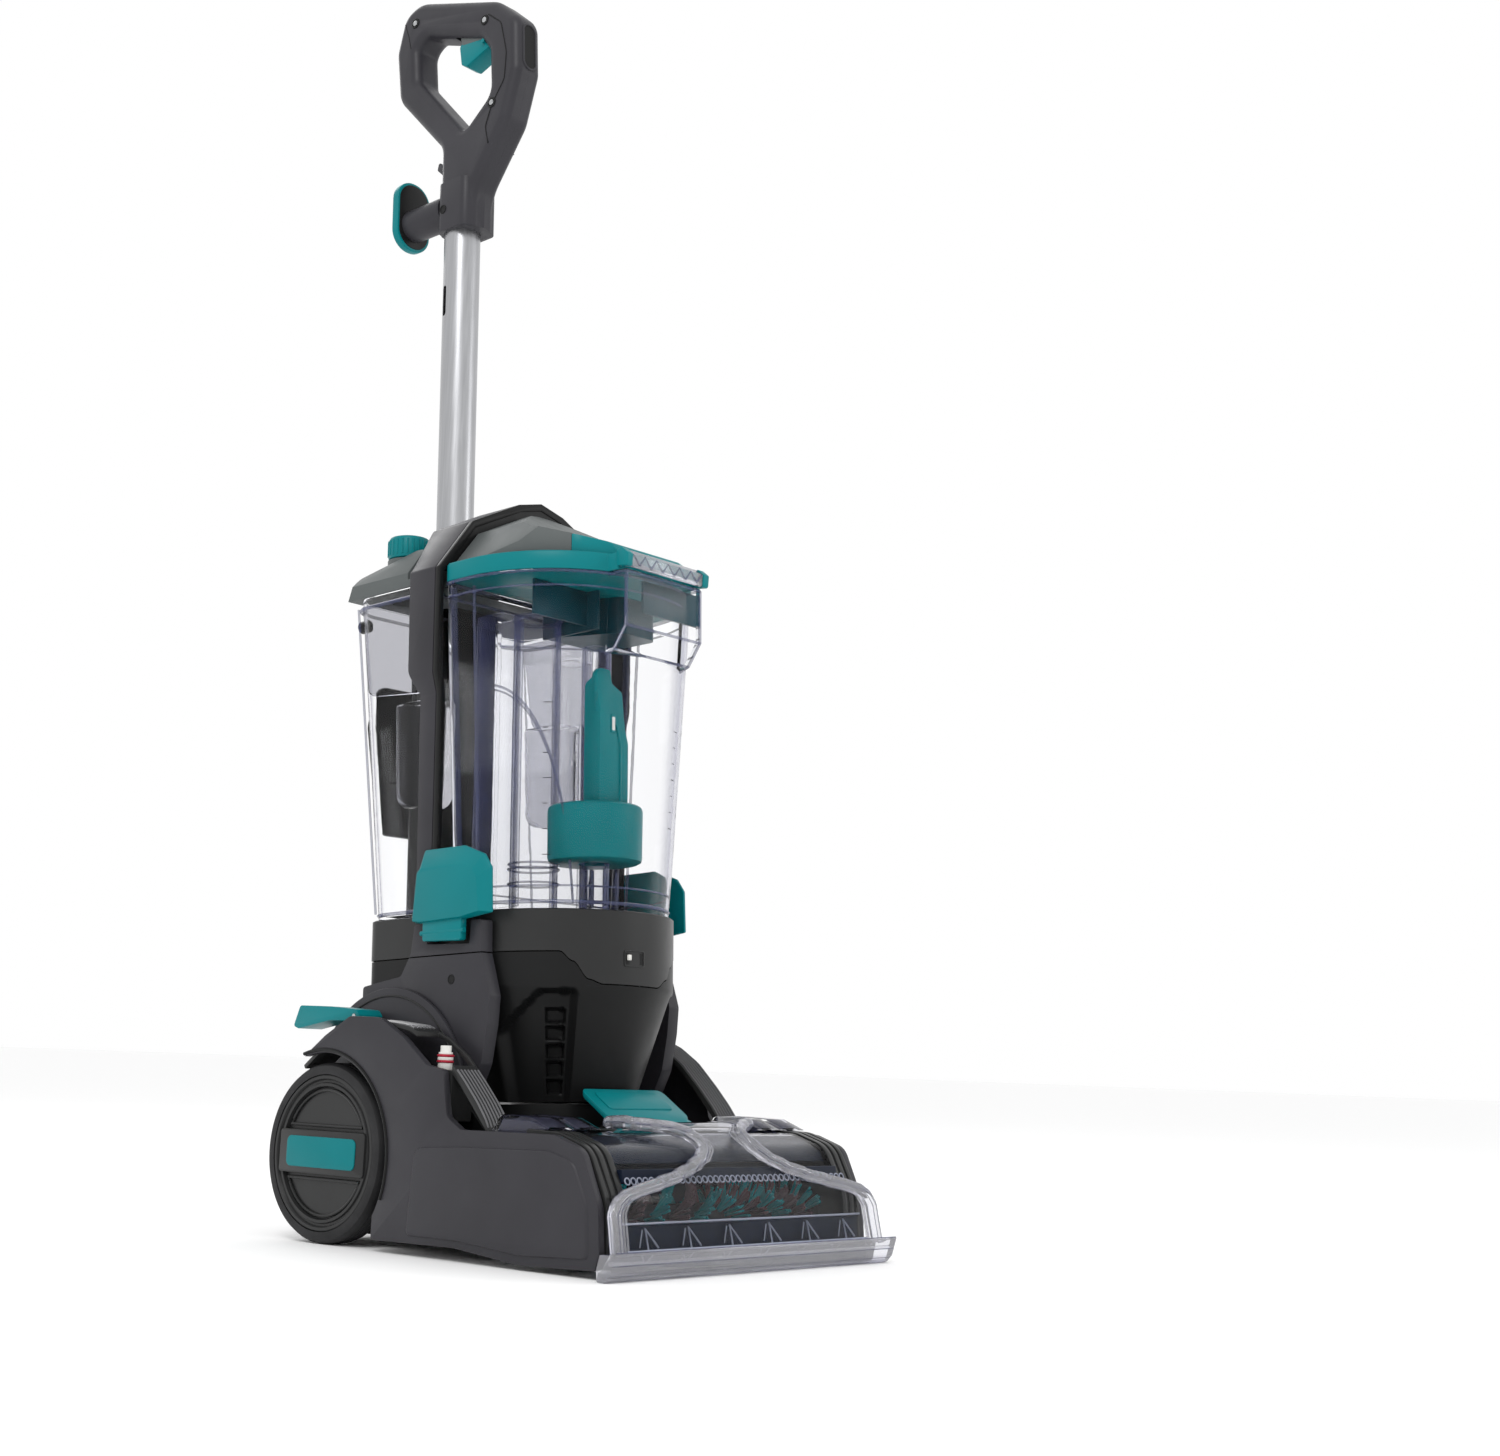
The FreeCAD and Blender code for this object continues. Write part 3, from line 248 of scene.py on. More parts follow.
def circle(a, b, radius, steps):
    return [Vector((a + radius * cos(2 * pi * k / steps),
                    b + radius * sin(2 * pi * k / steps))) for k in range(steps)]


def at(axis, a, b, c):
    """A point from outline coordinates a, b and a station c along the prism's axis."""
    return {"x": (c, a, b), "y": (a, c, b), "z": (a, b, c)}[axis]


def skin(rings, capped=True):
    """Closed rings of points joined one to the next."""
    bm = bmesh.new()
    made = [[bm.verts.new(p) for p in ring] for ring in rings]
    count = len(rings[0])
    for low, high in zip(made, made[1:]):
        for i in range(count):
            j = (i + 1) % count
            bm.faces.new((low[i], low[j], high[j], high[i]))
    if capped:
        bm.faces.new(made[0][::-1])
        bm.faces.new(made[-1])
    bmesh.ops.recalc_face_normals(bm, faces=bm.faces)
    return bm


def tapered(axis, first, low, second, high):
    """Two outlines with the same number of points, joined."""
    return skin([[at(axis, p[0], p[1], low) for p in first],
                 [at(axis, p[0], p[1], high) for p in second]])


def prism(axis, outline, low, high):
    return tapered(axis, outline, low, outline, high)


def span(side, near, far):
    """Lower and higher x of what lies between two distances from the middle on one side."""
    return sorted((side * near, side * far))


def turned(axis, centre, outline, steps=72):
    """An outline of (along, radius) points turned about an axis through centre; closed."""
    rings = []
    for k in range(steps):
        angle = 2 * pi * k / steps
        a, b = cos(angle), sin(angle)
        rings.append([Vector(centre) + Vector(at(axis, r * a, r * b, along))
                      for along, r in outline])
    bm = skin(rings + [rings[0]], capped=False)
    bmesh.ops.remove_doubles(bm, verts=bm.verts, dist=1e-4)
    bmesh.ops.recalc_face_normals(bm, faces=bm.faces)
    return bm


def tube(path, radius, sides=8, closed=False):
    """A round bead along a path of points."""
    path = [Vector(p) for p in path]
    count = len(path)
    rings, normal = [], None
    for i, point in enumerate(path):
        if closed:
            ahead = path[(i + 1) % count] - path[i - 1]
        else:
            ahead = path[min(i + 1, count - 1)] - path[max(i - 1, 0)]
        ahead.normalize()
        if normal is None:
            seed = Vector((0, 0, 1)) if abs(ahead.z) < 0.9 else Vector((0, 1, 0))
            normal = (seed - ahead * seed.dot(ahead)).normalized()
        normal = (normal - ahead * normal.dot(ahead)).normalized()
        side = ahead.cross(normal)
        rings.append([point + normal * (radius * cos(2 * pi * k / sides))
                      + side * (radius * sin(2 * pi * k / sides))
                      for k in range(sides)])
    if closed:
        bm = skin(rings + [rings[0]], capped=False)
        bmesh.ops.remove_doubles(bm, verts=bm.verts, dist=1e-4)
        return bm
    return skin(rings)


def hoop(axis, station, centre, radius, thickness, sides, steps):
    """A round bead bent into a circle across an axis."""
    return tube([at(axis, p.x, p.y, station) for p in circle(*centre, radius, steps)],
                thickness, sides, closed=True)


def level_bead(outline, z, radius):
    """A closed bead that follows an outline at one height."""
    return tube([(p.x, p.y, z) for p in outline], radius, closed=True)


def box(low, high):
    outline = [(low[0], low[1]), (high[0], low[1]), (high[0], high[1]), (low[0], high[1])]
    return prism("z", outline, low[2], high[2])


def joined(parts):
    """Several bmeshes as one."""
    whole = bmesh.new()
    for part in parts:
        mesh = bpy.data.meshes.new("part")
        part.to_mesh(mesh)
        part.free()
        whole.from_mesh(mesh)
        bpy.data.meshes.remove(mesh)
    return whole


def soften(bm, width, segments=2, angle=28, clear_of=0.0):
    """Rounds edges sharper than an angle in degrees that keep off the plane x = 0."""
    sharp = [e for e in bm.edges
             if len(e.link_faces) == 2 and e.calc_face_angle(0) > radians(angle)
             and max(abs(v.co.x) for v in e.verts) >= clear_of]
    bmesh.ops.bevel(bm, geom=sharp, offset=width, segments=segments, profile=0.5,
                    affect="EDGES", clamp_overlap=True)
    return bm


def cut(bm, point, normal):
    """Removes what lies on the normal's side of a plane and closes the cut."""
    bmesh.ops.bisect_plane(bm, geom=bm.verts[:] + bm.edges[:] + bm.faces[:], dist=1e-4,
                           plane_co=point, plane_no=normal, clear_outer=True)
    border = [e for e in bm.edges if e.is_boundary]
    bmesh.ops.triangle_fill(bm, edges=border, use_beauty=True)
    bmesh.ops.dissolve_limit(bm, angle_limit=radians(0.5), verts=bm.verts, edges=bm.edges)
    bmesh.ops.recalc_face_normals(bm, faces=bm.faces)
    return bm


def frame_of(body):
    return BASE if body in BASE_BODIES else UPRIGHT


def of_node(node):
    """A CAD node's shape as a welded bmesh in the design frame."""
    bm = bmesh.new()
    bm.from_mesh(frame["nodes"][node].data)
    bmesh.ops.transform(bm, matrix=frame_of(BODIES[node]).inverted(), verts=bm.verts)
    bmesh.ops.remove_doubles(bm, verts=bm.verts, dist=2e-3)
    bmesh.ops.dissolve_limit(bm, angle_limit=radians(0.4), verts=bm.verts, edges=bm.edges)
    return bm


def piece(name, shape, body, slot, material=None, replaces=(), sharp=32):
    """Makes an object of a bmesh, or of a list of them, riding on a CAD body."""
    bm = joined(shape) if isinstance(shape, list) else shape
    bmesh.ops.transform(bm, matrix=frame_of(body), verts=bm.verts)
    for face in bm.faces:
        face.smooth = True
    for edge in bm.edges:
        if len(edge.link_faces) == 2:
            edge.smooth = edge.calc_face_angle(0) < radians(sharp)
    mesh = bpy.data.meshes.new(name)
    bm.to_mesh(mesh)
    bm.free()
    mesh.materials.append(material or MATERIALS[slot])
    item = bpy.data.objects.new(name, mesh)
    bpy.context.collection.objects.link(item)
    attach(item, body)
    if replaces:
        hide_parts(*replaces)


def refine(node, width=0.8, material=None):
    """A CAD node with its edges rounded stands for the plain one."""
    bm = soften(of_node(node), width)
    piece(node + "_moulded", bm, BODIES[node], SLOTS[node], material, (node,))


def smooth_step(low, high, value):
    share = min(max((value - low) / (high - low), 0), 1)
    return share * share * (3 - 2 * share)


def along(table, place):
    """Value at a place in a table of (place, value) rows, smoothly joined."""
    for (low, first), (high, second) in zip(table, table[1:]):
        if place <= high:
            return first + (second - first) * smooth_step(low, high, place)
    return table[-1][1]


def dress_nodes():
    """Every carried-over CAD node takes the material of its slot in the record."""
    for node, item in frame["nodes"].items():
        item.data.materials.clear()
        item.data.materials.append(NODE_MATERIALS.get(node, MATERIALS[SLOTS[node]]))


# -------- nozzle

def hood_line(gap):
    """Outside of the brush hood (y, z) from the rear deck round to the floor, moved in by gap."""
    return rounded([(-119, 98 - gap), (-152, 97 - gap, 30), (-181 + gap, 88 - gap, 24),
                    (-201 + gap, 52, 40), (-204 + gap, 8)], 10)


def bell_line():
    """Middle line of the bell cover (y, z), from the deck down to the lip."""
    return rounded([(-121.5, 103.6), (-142, 105, 30), (-165, 101.5, 30), (-187, 89, 24),
                    (-208, 60, 40), (-217, 18)], 8)


# Height and half width of the bell cover.
BELL_WIDTH = ((12, 151), (44, 150), (51, 146), (56, 138), (60, 122), (64, 100), (69, 76),
              (75, 56), (81, 42), (87, 35), (93, 32), (98, 34), (101, 42), (103, 56), (104, 70))


def divided(line, spacing):
    """Points at an even spacing along a line."""
    points = [Vector(p) for p in line]
    out, left = [points[0]], spacing
    for a, b in zip(points, points[1:]):
        run = (b - a).length
        while left < run:
            out.append(a.lerp(b, left / run))
            left += spacing
        left -= run
    return out + [points[-1]]


def nozzle_cover():
    """Bell-shaped clear cover: a thin sheet with a thick rolled bead along its edges."""
    line = divided(bell_line(), 2.0)
    columns = 24
    rings = []
    for i, p in enumerate(line):
        ahead = (line[min(i + 1, len(line) - 1)] - line[max(i - 1, 0)]).normalized()
        inward = Vector((-ahead.y, ahead.x))
        if inward.x < 0 and inward.y > 0:
            inward = -inward
        half = along(BELL_WIDTH, p.y) - 3
        ring = []
        for depth, order in ((0, range(columns + 1)), (2.4, range(columns, -1, -1))):
            for k in order:
                x = half * (2 * k / columns - 1)
                ring.append((x, p.x + inward.x * depth, p.y + inward.y * depth))
        rings.append(ring)
    sheet = skin(rings)

    def edge_beads(rows, sides):
        """Beads down both edges; a row is (inset from the edge, ahead of the sheet, radius)."""
        return [tube(divided([(side * (along(BELL_WIDTH, p.y) - inset), p.x - ahead, p.y)
                              for p in line], 2.5), radius, sides)
                for side in BOTH for inset, ahead, radius in rows]

    beads = edge_beads(((4, 0.6, 5.0), (11.5, 0.6, 1.6), (15.5, 0.6, 0.8)), 12)
    piece("nozzle_cover_bell", sheet, "base", "clear_plastic", replaces=("nozzle_cover",),
          sharp=50)
    piece("nozzle_cover_beads", beads, "base", "clear_plastic", GLOSSY_CLEAR)
    # Thin dark lines along the bead's edges: painted edge reflection.
    lines = edge_beads(((-0.6, 0.6, 0.5), (3.0, 5.2, 0.5), (6.4, 4.6, 0.5), (9.6, 1.2, 0.5)), 6)
    piece("nozzle_bead_lines", lines, "base", "clear_plastic", LINED)


def nozzle_inside():
    """Dark inner hood above the brush, its spray ring row, and the wall behind the brush."""
    outer, inner = ([p for p in hood_line(gap) if p.y > 71] for gap in (4.4, 6.6))
    wall = [(-121, 88), (-121, 6), (-119, 6)]
    shell = soften(prism("x", outer + inner[::-1] + wall, -126, 126), 0.5)
    piece("inner_hood", shell, "base", "inner_plastic", NAVY)
    rings = []
    count, half_row = 40, 122
    for k in range(count):
        centre = Vector((-half_row + 2 * half_row * k / (count - 1), -200.5, 66))
        loop = [centre + Vector((2.5 * cos(a), 0.9 * sin(a), 2.3 * sin(a)))
                for a in (2 * pi * j / 14 for j in range(14))]
        rings.append(tube(loop, 0.55, 6, closed=True))
    bar = prism("x", rounded([(-196, 64, 1), (-190, 63.5, 1), (-188, 73, 1), (-194.5, 74, 1)], 3),
                -half_row, half_row)
    piece("spray_bar_moulded", soften(bar, 0.4), "base", "inner_plastic", NAVY,
          replaces=("spray_bar",))
    # The clear rings are coloured light grey as painted glints.
    piece("spray_rings", rings, "base", "clear_plastic", RING_GLINT)
    wall = [(-205.8, 36), (-206.8, 8), (-205.2, 8), (-204.4, 36)]
    piece("hood_front_wall", soften(prism("x", wall, -136, 136), 0.3), "base", "inner_plastic",
          NAVY)


def nozzle_ribs():
    """Triangular stiffeners above the lip and the rail that they reach up to."""
    ribs = []
    for k in range(6):
        x = -112 + 45 * k
        ribs.append(tube([(x, -213.6, 20), (x, -209.6, 34), (x + 11, -213, 21)], 0.75, 6))
        ribs.append(tube([(x - 3, -208, 21), (x - 0.6, -207.4, 33)], 0.5, 6))
    for y, z, radius in ((-207.6, 37.4, 0.9), (-216.6, 19.6, 0.8)):
        ribs.append(tube([(-136, y, z), (136, y, z)], radius))
    # The clear stiffeners are coloured light grey as painted glints.
    piece("nozzle_ribs", ribs, "base", "clear_plastic", RING_GLINT)


def lip():
    """Flared clear lip along the floor, with a rolled lower edge and moulded notches."""
    outline = rounded([(-213.4, 18.8), (-221, 18.8, 1), (-228.4, 21, 1), (-224, 6, 3),
                       (-219, 0.6, 2), (-211.5, 0.6, 1), (-210.4, 8, 2)], 4)
    bodies = [soften(prism("x", outline, -159.8, 159.8), 0.6)]
    for y, z, radius in ((-222.5, 13, 1.6), (-217.5, 2.2, 2.0)):
        bodies.append(tube([(-158.5, y, z), (158.5, y, z)], radius, 10))
    for x in range(-126, 127, 42):
        bodies.append(tube([(x - 6, -226, 18.6), (x, -223.4, 12), (x + 6, -226, 18.6)], 0.7, 6))
    # Dark lines along the lip's face: painted edge reflection.
    lines = [tube([(-159, y, z), (159, y, z)], 0.45, 6)
             for y, z in ((-227.7, 20.4), (-225.4, 11.6), (-222.2, 4.6))]
    piece("nozzle_lip_lines", lines, "base", "clear_plastic", LINED)
    piece("nozzle_lip_moulded", bodies, "base", "clear_plastic", GLOSSY_CLEAR, ("nozzle_lip",))


def end_caps():
    """Black caps at the hood's ends, each with a satin band where the clear hood starts."""
    refine("end_caps", 1.6)
    outline = hood_line(-0.8) + hood_line(1.2)[::-1]
    bands = [soften(prism("x", outline, *span(side, near, far)), 0.5)
             for side in BOTH
             for near, far in ((122.5, 128.2), (131, 136), (138.5, 142.8))]
    piece("end_cap_bands", bands, "base", "charcoal_plastic", SATIN)


def brush():
    """Helical rows of nylon tufts, teal and maroon in turn, on the brush core."""
    random.seed(7)
    centre = Vector((0, -160, 34))
    rows, tufts, bristles = 6, 34, 9
    half_length, core_radius, splay, turn_length = 113, 11.5, 2.6, 150
    made = ([], [])
    for row in range(rows):
        for k in range(tufts):
            x = -half_length + 2 * half_length * k / (tufts - 1)
            angle = 2 * pi * (row / rows + abs(x) / turn_length)
            out = Vector((0, cos(angle), sin(angle)))
            around = Vector((0, -sin(angle), cos(angle)))
            root = centre + Vector((x, 0, 0)) + out * core_radius
            for _ in range(bristles):
                lean = Vector((random.uniform(-splay, splay), 0, 0))
                lean += around * random.uniform(-splay, splay)
                start = root + lean * 0.45
                tip = root + out * random.uniform(16.2, 17.8) + lean * 1.25
                made[row % 2].append(tube([start, start.lerp(tip, 0.5) + lean * 0.12, tip],
                                          0.75, 4))
    piece("brush_tufts_teal", made[0], "brush", "bristle", replaces=("brush_bristles",),
          sharp=60)
    piece("brush_tufts_maroon", made[1], "brush", "bristle", MAROON_BRISTLE, sharp=60)


def port_door():
    """Flap of the hose port: raised centre panel, turned-up rear edge, two hinge arms."""
    plate = rounded([(-46, -74, 6), (46, -74, 6), (46, -104, 5), (38, -112, 4), (-38, -112, 4),
                     (-46, -104, 5)], 4)

    def height(y):
        return 98.5 + (y + 112) * 24 / 38

    def slab(points, low, high):
        return soften(skin([[(p.x, p.y, height(p.y) + gap) for p in points]
                            for gap in (low, high)]), 0.9)

    raised = rounded([(-36, -79, 4), (36, -79, 4), (36, -98, 3), (-36, -98, 3)], 4)
    parts = [slab(plate, 0.4, 5.0), slab(raised, 4.8, 6.2)]
    arm = rounded([(-104, 97, 2), (-100, 108, 3), (-110, 103.6, 3), (-113.4, 96, 3),
                   (-108, 93.6, 2)], 4)
    parts += [soften(prism("x", arm, *span(side, 36, 45.6)), 0.7) for side in BOTH]
    parts.append(tube([(-34, -105, 101.2), (34, -105, 101.2)], 2.2, 10))
    piece("port_cover_moulded", parts, "port_door", "teal_plastic", replaces=("port_cover",))


def deck():
    """Duct deck, faceted clear side boxes with dark panels inside them."""
    refine("port_duct", 0.8)
    refine("deck_covers", 1.4)
    panel = rounded([(-86, 94), (-92, 104.6, 2), (-122, 104, 4), (-138, 99.4), (-121, 94)], 3)
    panels = [soften(prism("x", panel, *span(side, near, far)), 0.8)
              for side in BOTH for near, far in ((96, 110), (121, 141))]
    piece("deck_panels", panels, "base", "inner_plastic", PANEL)
    ledge = rounded([(-119, 90, 1), (-119, 98.4, 1), (-100, 99, 2), (-92, 92, 2)], 3)
    ledges = [soften(prism("x", ledge, *span(side, 48.5, 91)), 0.8) for side in BOTH]
    piece("deck_ledges", ledges, "base", "black_plastic")


def nozzle():
    nozzle_cover()
    nozzle_inside()
    nozzle_ribs()
    lip()
    end_caps()
    brush()
    port_door()
    deck()


# -------- floor base

WHEEL_Y, WHEEL_Z = 107, 70

def side_panels():
    """Side panels with a rounded edge, a raised front pod and a lip round the wheel arch."""
    pod = rounded([(-2, 15, 4), (-6, 80, 10), (-58, 83, 10), (-150, 85, 18), (-175, 79, 14),
                   (-191, 49, 18), (-194, 13, 4), (-126, 10, 20), (-58, 15, 20)], 5)
    middle = Vector((-96, 48))
    inset = [middle + (p - middle) * 0.975 for p in pod]
    for name, side in SIDES.items():
        refine(f"side_panel_{name}", 1.6)
        plate = soften(tapered("x", pod, side * 149.9, inset, side * 151.5), 0.5)
        piece(f"pod_{name}", plate, "base", "charcoal_plastic")
        arch = [(side * 149.8, WHEEL_Y + 82.5 * cos(a), 67.4 + 82.5 * sin(a))
                for a in (radians(d) for d in range(72, 204, 4))]
        piece(f"arch_lip_{name}", tube(arch, 1.5), "base", "black_plastic")


def fenders():
    """Arched fenders with fine ribs that run over the wheel and down to the deck; the ribs are
    lighter grey than the fender as a painted highlight.
    """
    crest = rounded([(104, 162.4), (62, 174, 60), (16, 170, 40), (-8, 161, 20), (-28, 149, 30),
                     (-49, 130, 30), (-64, 115, 20), (-74, 103, 10), (-77, 97)], 8)
    for name, side in SIDES.items():
        refine(f"fender_{name}", 0.8, SATIN)
        ribs = []
        for k in range(7):
            x = side * (121.5 + 3.4 * k)
            path = [(x, p.x, p.y + 0.3) for p in divided(crest, 5)]
            # On the left the ribs stop short of the hose nipple, in front of it and behind.
            runs = ([[p for p in path if p[1] >= 7], [p for p in path if p[1] <= -37]]
                    if side < 0 else [path])
            ribs += [tube(run, 1.0, 6) for run in runs]
        # The ribs' lighter grey is a painted highlight.
        piece(f"fender_ribs_{name}", ribs, "base", "charcoal_plastic", RIB_HIGHLIGHT)


def wheel(name, side):
    """Tyre with tread grooves; hub face with a ring, two D-shaped pans and a raised bar."""
    body = f"wheel_{name}"
    y, z, low, high = WHEEL_Y, WHEEL_Z, 120.6, 146.4
    tyre = [(low, 60.8), (low, 66), (low + 4, 69.6)]
    for k in range(3):
        start = low + 6.5 + 5 * k
        tyre += [(start, 69.9), (start + 0.5, 68.9), (start + 1.2, 68.9), (start + 1.7, 69.9)]
    tyre += [(high - 4, 69.6), (high - 1, 67.6), (high - 0.2, 64), (high - 0.2, 60.8)]
    centre = (0, y, z)
    piece(f"tyre_{name}_moulded", turned("x", centre, [(side * a, r) for a, r in tyre], 96), body,
          "tyre_rubber", replaces=(f"tyre_{name}",))
    face = [(low + 1, 8), (low + 1, 60.6), (high - 1.2, 60.6), (high - 0.4, 59.6),
            (high - 0.4, 57.4), (high - 2.4, 56.2), (high - 2.4, 54.6), (high - 1.0, 53.8),
            (high - 1.0, 51.6), (high - 4.6, 50.4), (high - 4.6, 8)]
    hub = [turned("x", centre, [(side * a, r) for a, r in face], 96)]
    bar = rectangle((y - 52, z - 17), (y + 52, z + 17), 3)
    hub.append(soften(prism("x", bar, *span(side, high - 5, high + 0.9)), 1.0))
    start = asin(21 / 49)
    for up in BOTH:
        arc = [(side * (high - 3.6), y + 48.5 * cos(a), z + up * 48.5 * sin(a))
               for a in (start + (pi - 2 * start) * k / 24 for k in range(25))]
        loop = arc + [(side * (high - 3.6), y + c, z + up * 20.6) for c in (-30, -10, 10, 30)]
        hub.append(tube(loop, 1.3, closed=True))
    piece(f"hub_{name}_moulded", hub, body, "charcoal_plastic", SATIN, (f"hub_{name}",))
    inlay = rectangle((y - 42, z - 12), (y + 42, z + 12), 5, 5)
    plate = soften(prism("x", inlay, *span(side, high + 0.4, high + 2)), 0.7, 3)
    piece(f"inlay_{name}_moulded", plate, body, "teal_plastic", replaces=(f"inlay_{name}",))


def floor_base():
    side_panels()
    fenders()
    for name, side in SIDES.items():
        wheel(name, side)
    refine("base_chassis", 0.8)
    refine("recline_pedal", 1.6)
    refine("hose_nipple", 0.25)
    outline = d_line(63, 8, 4)
    top = [(p.x, p.y, 108.4 + (PIVOT.y - p.y) * tan(LEAN)) for p in outline]
    piece("housing_skirt", skin([[(p.x, p.y, 90) for p in outline], top]), "base",
          "black_plastic")


# -------- upright

# Centre of the riser tube in the recovery tank, seen from above.
RISER = (-32, -5)


def d_line(half, back, corner, steps=48):
    """D-shaped section seen from above: rounded back corners, straight sides, round front."""
    front = [(half * cos(a), -half * sin(a))
             for a in (pi * k / steps for k in range(steps + 1))]
    corners = rounded([(-half, 0), (-half, back, corner), (half, back, corner), (half, 0)], 6)
    return [Vector(p) for p in front[:-1]] + corners[:-1]


# Bearing in degrees and height of the collar's lower edge, which dips at the front.
SEAM = ((-90, 224.5), (-43, 224.5), (-37, 217), (-29, 203), (-22, 199.5), (12, 199), (22, 206),
        (29, 217), (37, 224.5), (90, 224.5))


def bearing_of(point):
    """Direction seen from above, in degrees from the front, + towards +X."""
    return degrees(atan2(point.x, -point.y))


def scoop_depth(bearing, z):
    """How far the housing wall is pushed in: a tall scoop each side with stepped slots."""
    side = abs(bearing)
    across = smooth_step(33.5, 37, side) * (1 - smooth_step(72, 79, side))
    top = 196 - max(side - 52, 0) * 1.3
    along = smooth_step(103, 109, z) * (1 - smooth_step(top - 3.5, top, z))
    depth = 8.5 * across * along
    if 38.5 < side < 50 and 116 < z < 184:
        slot = (z - 116) % 13.6
        depth += 7.0 * smooth_step(0, 1.2, slot) * (1 - smooth_step(9.6, 11.6, slot))
    return depth


def wall_rings(levels, outline, shift=None):
    """Rings of a wall: a level gives each outline point's height and place, shift pushes in."""
    rings = []
    for level in levels:
        ring = []
        for p in outline:
            z, q = level(p)
            push = shift(bearing_of(q), z) if shift and q.y < 20 else 0
            inward = -Vector((q.x, min(q.y, 0))).normalized() if q.length else Vector((0, 0))
            ring.append((q.x + inward.x * push, q.y + inward.y * push, z))
        rings.append(ring)
    return rings


def housing():
    """Bucket-shaped motor housing with scoops and slots, and the collar above its seam."""
    top_half, foot_half, foot, top = 95.6, 66.0, 110.2, 258.0
    shape = d_line(1.0, 1.0, 0.1, 150)

    def section(p, z, grow=0.0):
        share = min((z - foot) / 88, 1)
        half = foot_half + (top_half - foot_half) * share + grow
        back = 92 + 31.8 * share + grow
        return Vector((p.x * half, p.y * (half if p.y < 0 else back)))

    def seam(p):
        return along(SEAM, bearing_of(p)) - 0.4

    def level(low, high, share, grow=0.0):
        """A level a share of the way from low(p) to high at each outline point p."""
        def place(p):
            start, end = low(p), high(p) if callable(high) else high
            z = start + (end - start) * share
            return z, section(p, z, grow)
        return place

    levels = [level(lambda p: foot, seam, k / 90) for k in range(91)]
    rim = [level(lambda p: seam(p) - 1.2, top, 0, -2.4)]
    wall = wall_rings(levels, shape, scoop_depth) + wall_rings(rim, shape)
    piece("lower_housing_moulded", skin(wall), "upright", "black_plastic",
          replaces=("lower_housing",), sharp=40)
    levels = [level(lambda p: seam(p) + 0.2, top, 0, -2.4)]
    levels += [level(lambda p: seam(p) + 1.0, top - 1, share, 0.3)
               for share in (0, 0.02, 0.25, 0.5, 0.75, 0.98, 1)]
    levels += [level(lambda p: top, z, 1, grow)
               for z, grow in ((top, -1.0), (top, -4.4), (top - 7, -4.6))]
    piece("collar_moulded", skin(wall_rings(levels, shape)), "upright", "black_plastic", SATIN,
          ("collar",), 40)
    frame_line = rectangle((-18, 214.5), (2, 226.5), 1.5, 3)
    hole = rectangle((-16.6, 216), (0.6, 225), 1, 3)
    outline = [(x, -sqrt(96.2 ** 2 - x * x) + 0.1, z) for x, z in hole]
    pane = skin([outline, [(x, y + 3, z) for x, y, z in outline]])
    piece("window_pane", pane, "upright", "inner_plastic", MATERIALS["black_plastic"])
    loop = [(p.x, -sqrt(96.1 ** 2 - p.x ** 2), p.y) for p in frame_line]
    piece("window_frame", tube(loop, 0.7, 6, closed=True), "upright", "charcoal_plastic", SATIN)
    piece("window_catch", soften(box((-15.5, -96.6, 219), (-12, -93, 223.5)), 0.6),
          "upright", "white_plastic")


def hips():
    """Hip covers split by a seam, with a screw well; pivot discs with a raised rim."""
    seam, gap = 223.5, 0.9
    upper = soften(cut(of_node("hip_covers"), (0, 0, seam + gap / 2), (0, 0, -1)), 1.3)
    lower = soften(cut(of_node("hip_covers"), (0, 0, seam - gap / 2), (0, 0, 1)), 1.3)
    piece("hip_covers_upper", upper, "upright", "charcoal_plastic", replaces=("hip_covers",))
    piece("hip_covers_lower", lower, "upright", "charcoal_plastic")
    refine("pivot_discs", 1.4)
    rims = [hoop("x", side * 112.4, PIVOT.yz, 84, 0.9, 6, 96) for side in BOTH]
    wells = []
    for side in BOTH:
        wells += [hoop("x", side * 108.05, (6, 204), 3.4, 0.5, 6, 24),
                  prism("x", circle(6, 204, 3.2, 24), *span(side, 107.9, 108.15))]
    piece("pivot_disc_rims", rims, "upright", "charcoal_plastic", SATIN)
    # Black discs in the hip screw wells: painted shade inside the recesses.
    piece("hip_screw_wells", wells, "upright", "black_plastic")


def latch(name, side):
    """Faceted latch: a chamfered plate with a steep top face and a narrow front face."""
    outer = [(33.2, 248.7), (45.6, 250), (42, 292), (36, 307.6), (-10, 307.6), (-33, 299),
             (-41, 288), (-42.2, 253), (-12, 249.7)]
    inner = [(33.2, 249.7), (43, 251), (39, 289), (34, 292), (-14, 292), (-26, 287),
             (-31, 280), (-34, 254), (-12, 250.7)]
    x_low, x_high = side * 109.5, side * 118
    plate = soften(skin([[(x_low, *p) for p in outer], [(side * 112, *p) for p in outer],
                         [(x_high, *p) for p in inner]]), 0.9, 2, 12)
    tongue = rounded([(-11.8, 233, 2), (33, 234.6, 2), (33.2, 252), (-12, 252)], 4)
    tab = soften(prism("x", tongue, *span(side, 109.5, 115.5)), 0.8)
    pin = turned("y", (side * 113.7, 0, 241), [(-14, 0), (-14, 2), (36, 2), (36, 0)], 24)
    node = f"latch_{name}"
    piece(node + "_moulded", [plate, tab, pin], node, "teal_plastic", replaces=(node,))


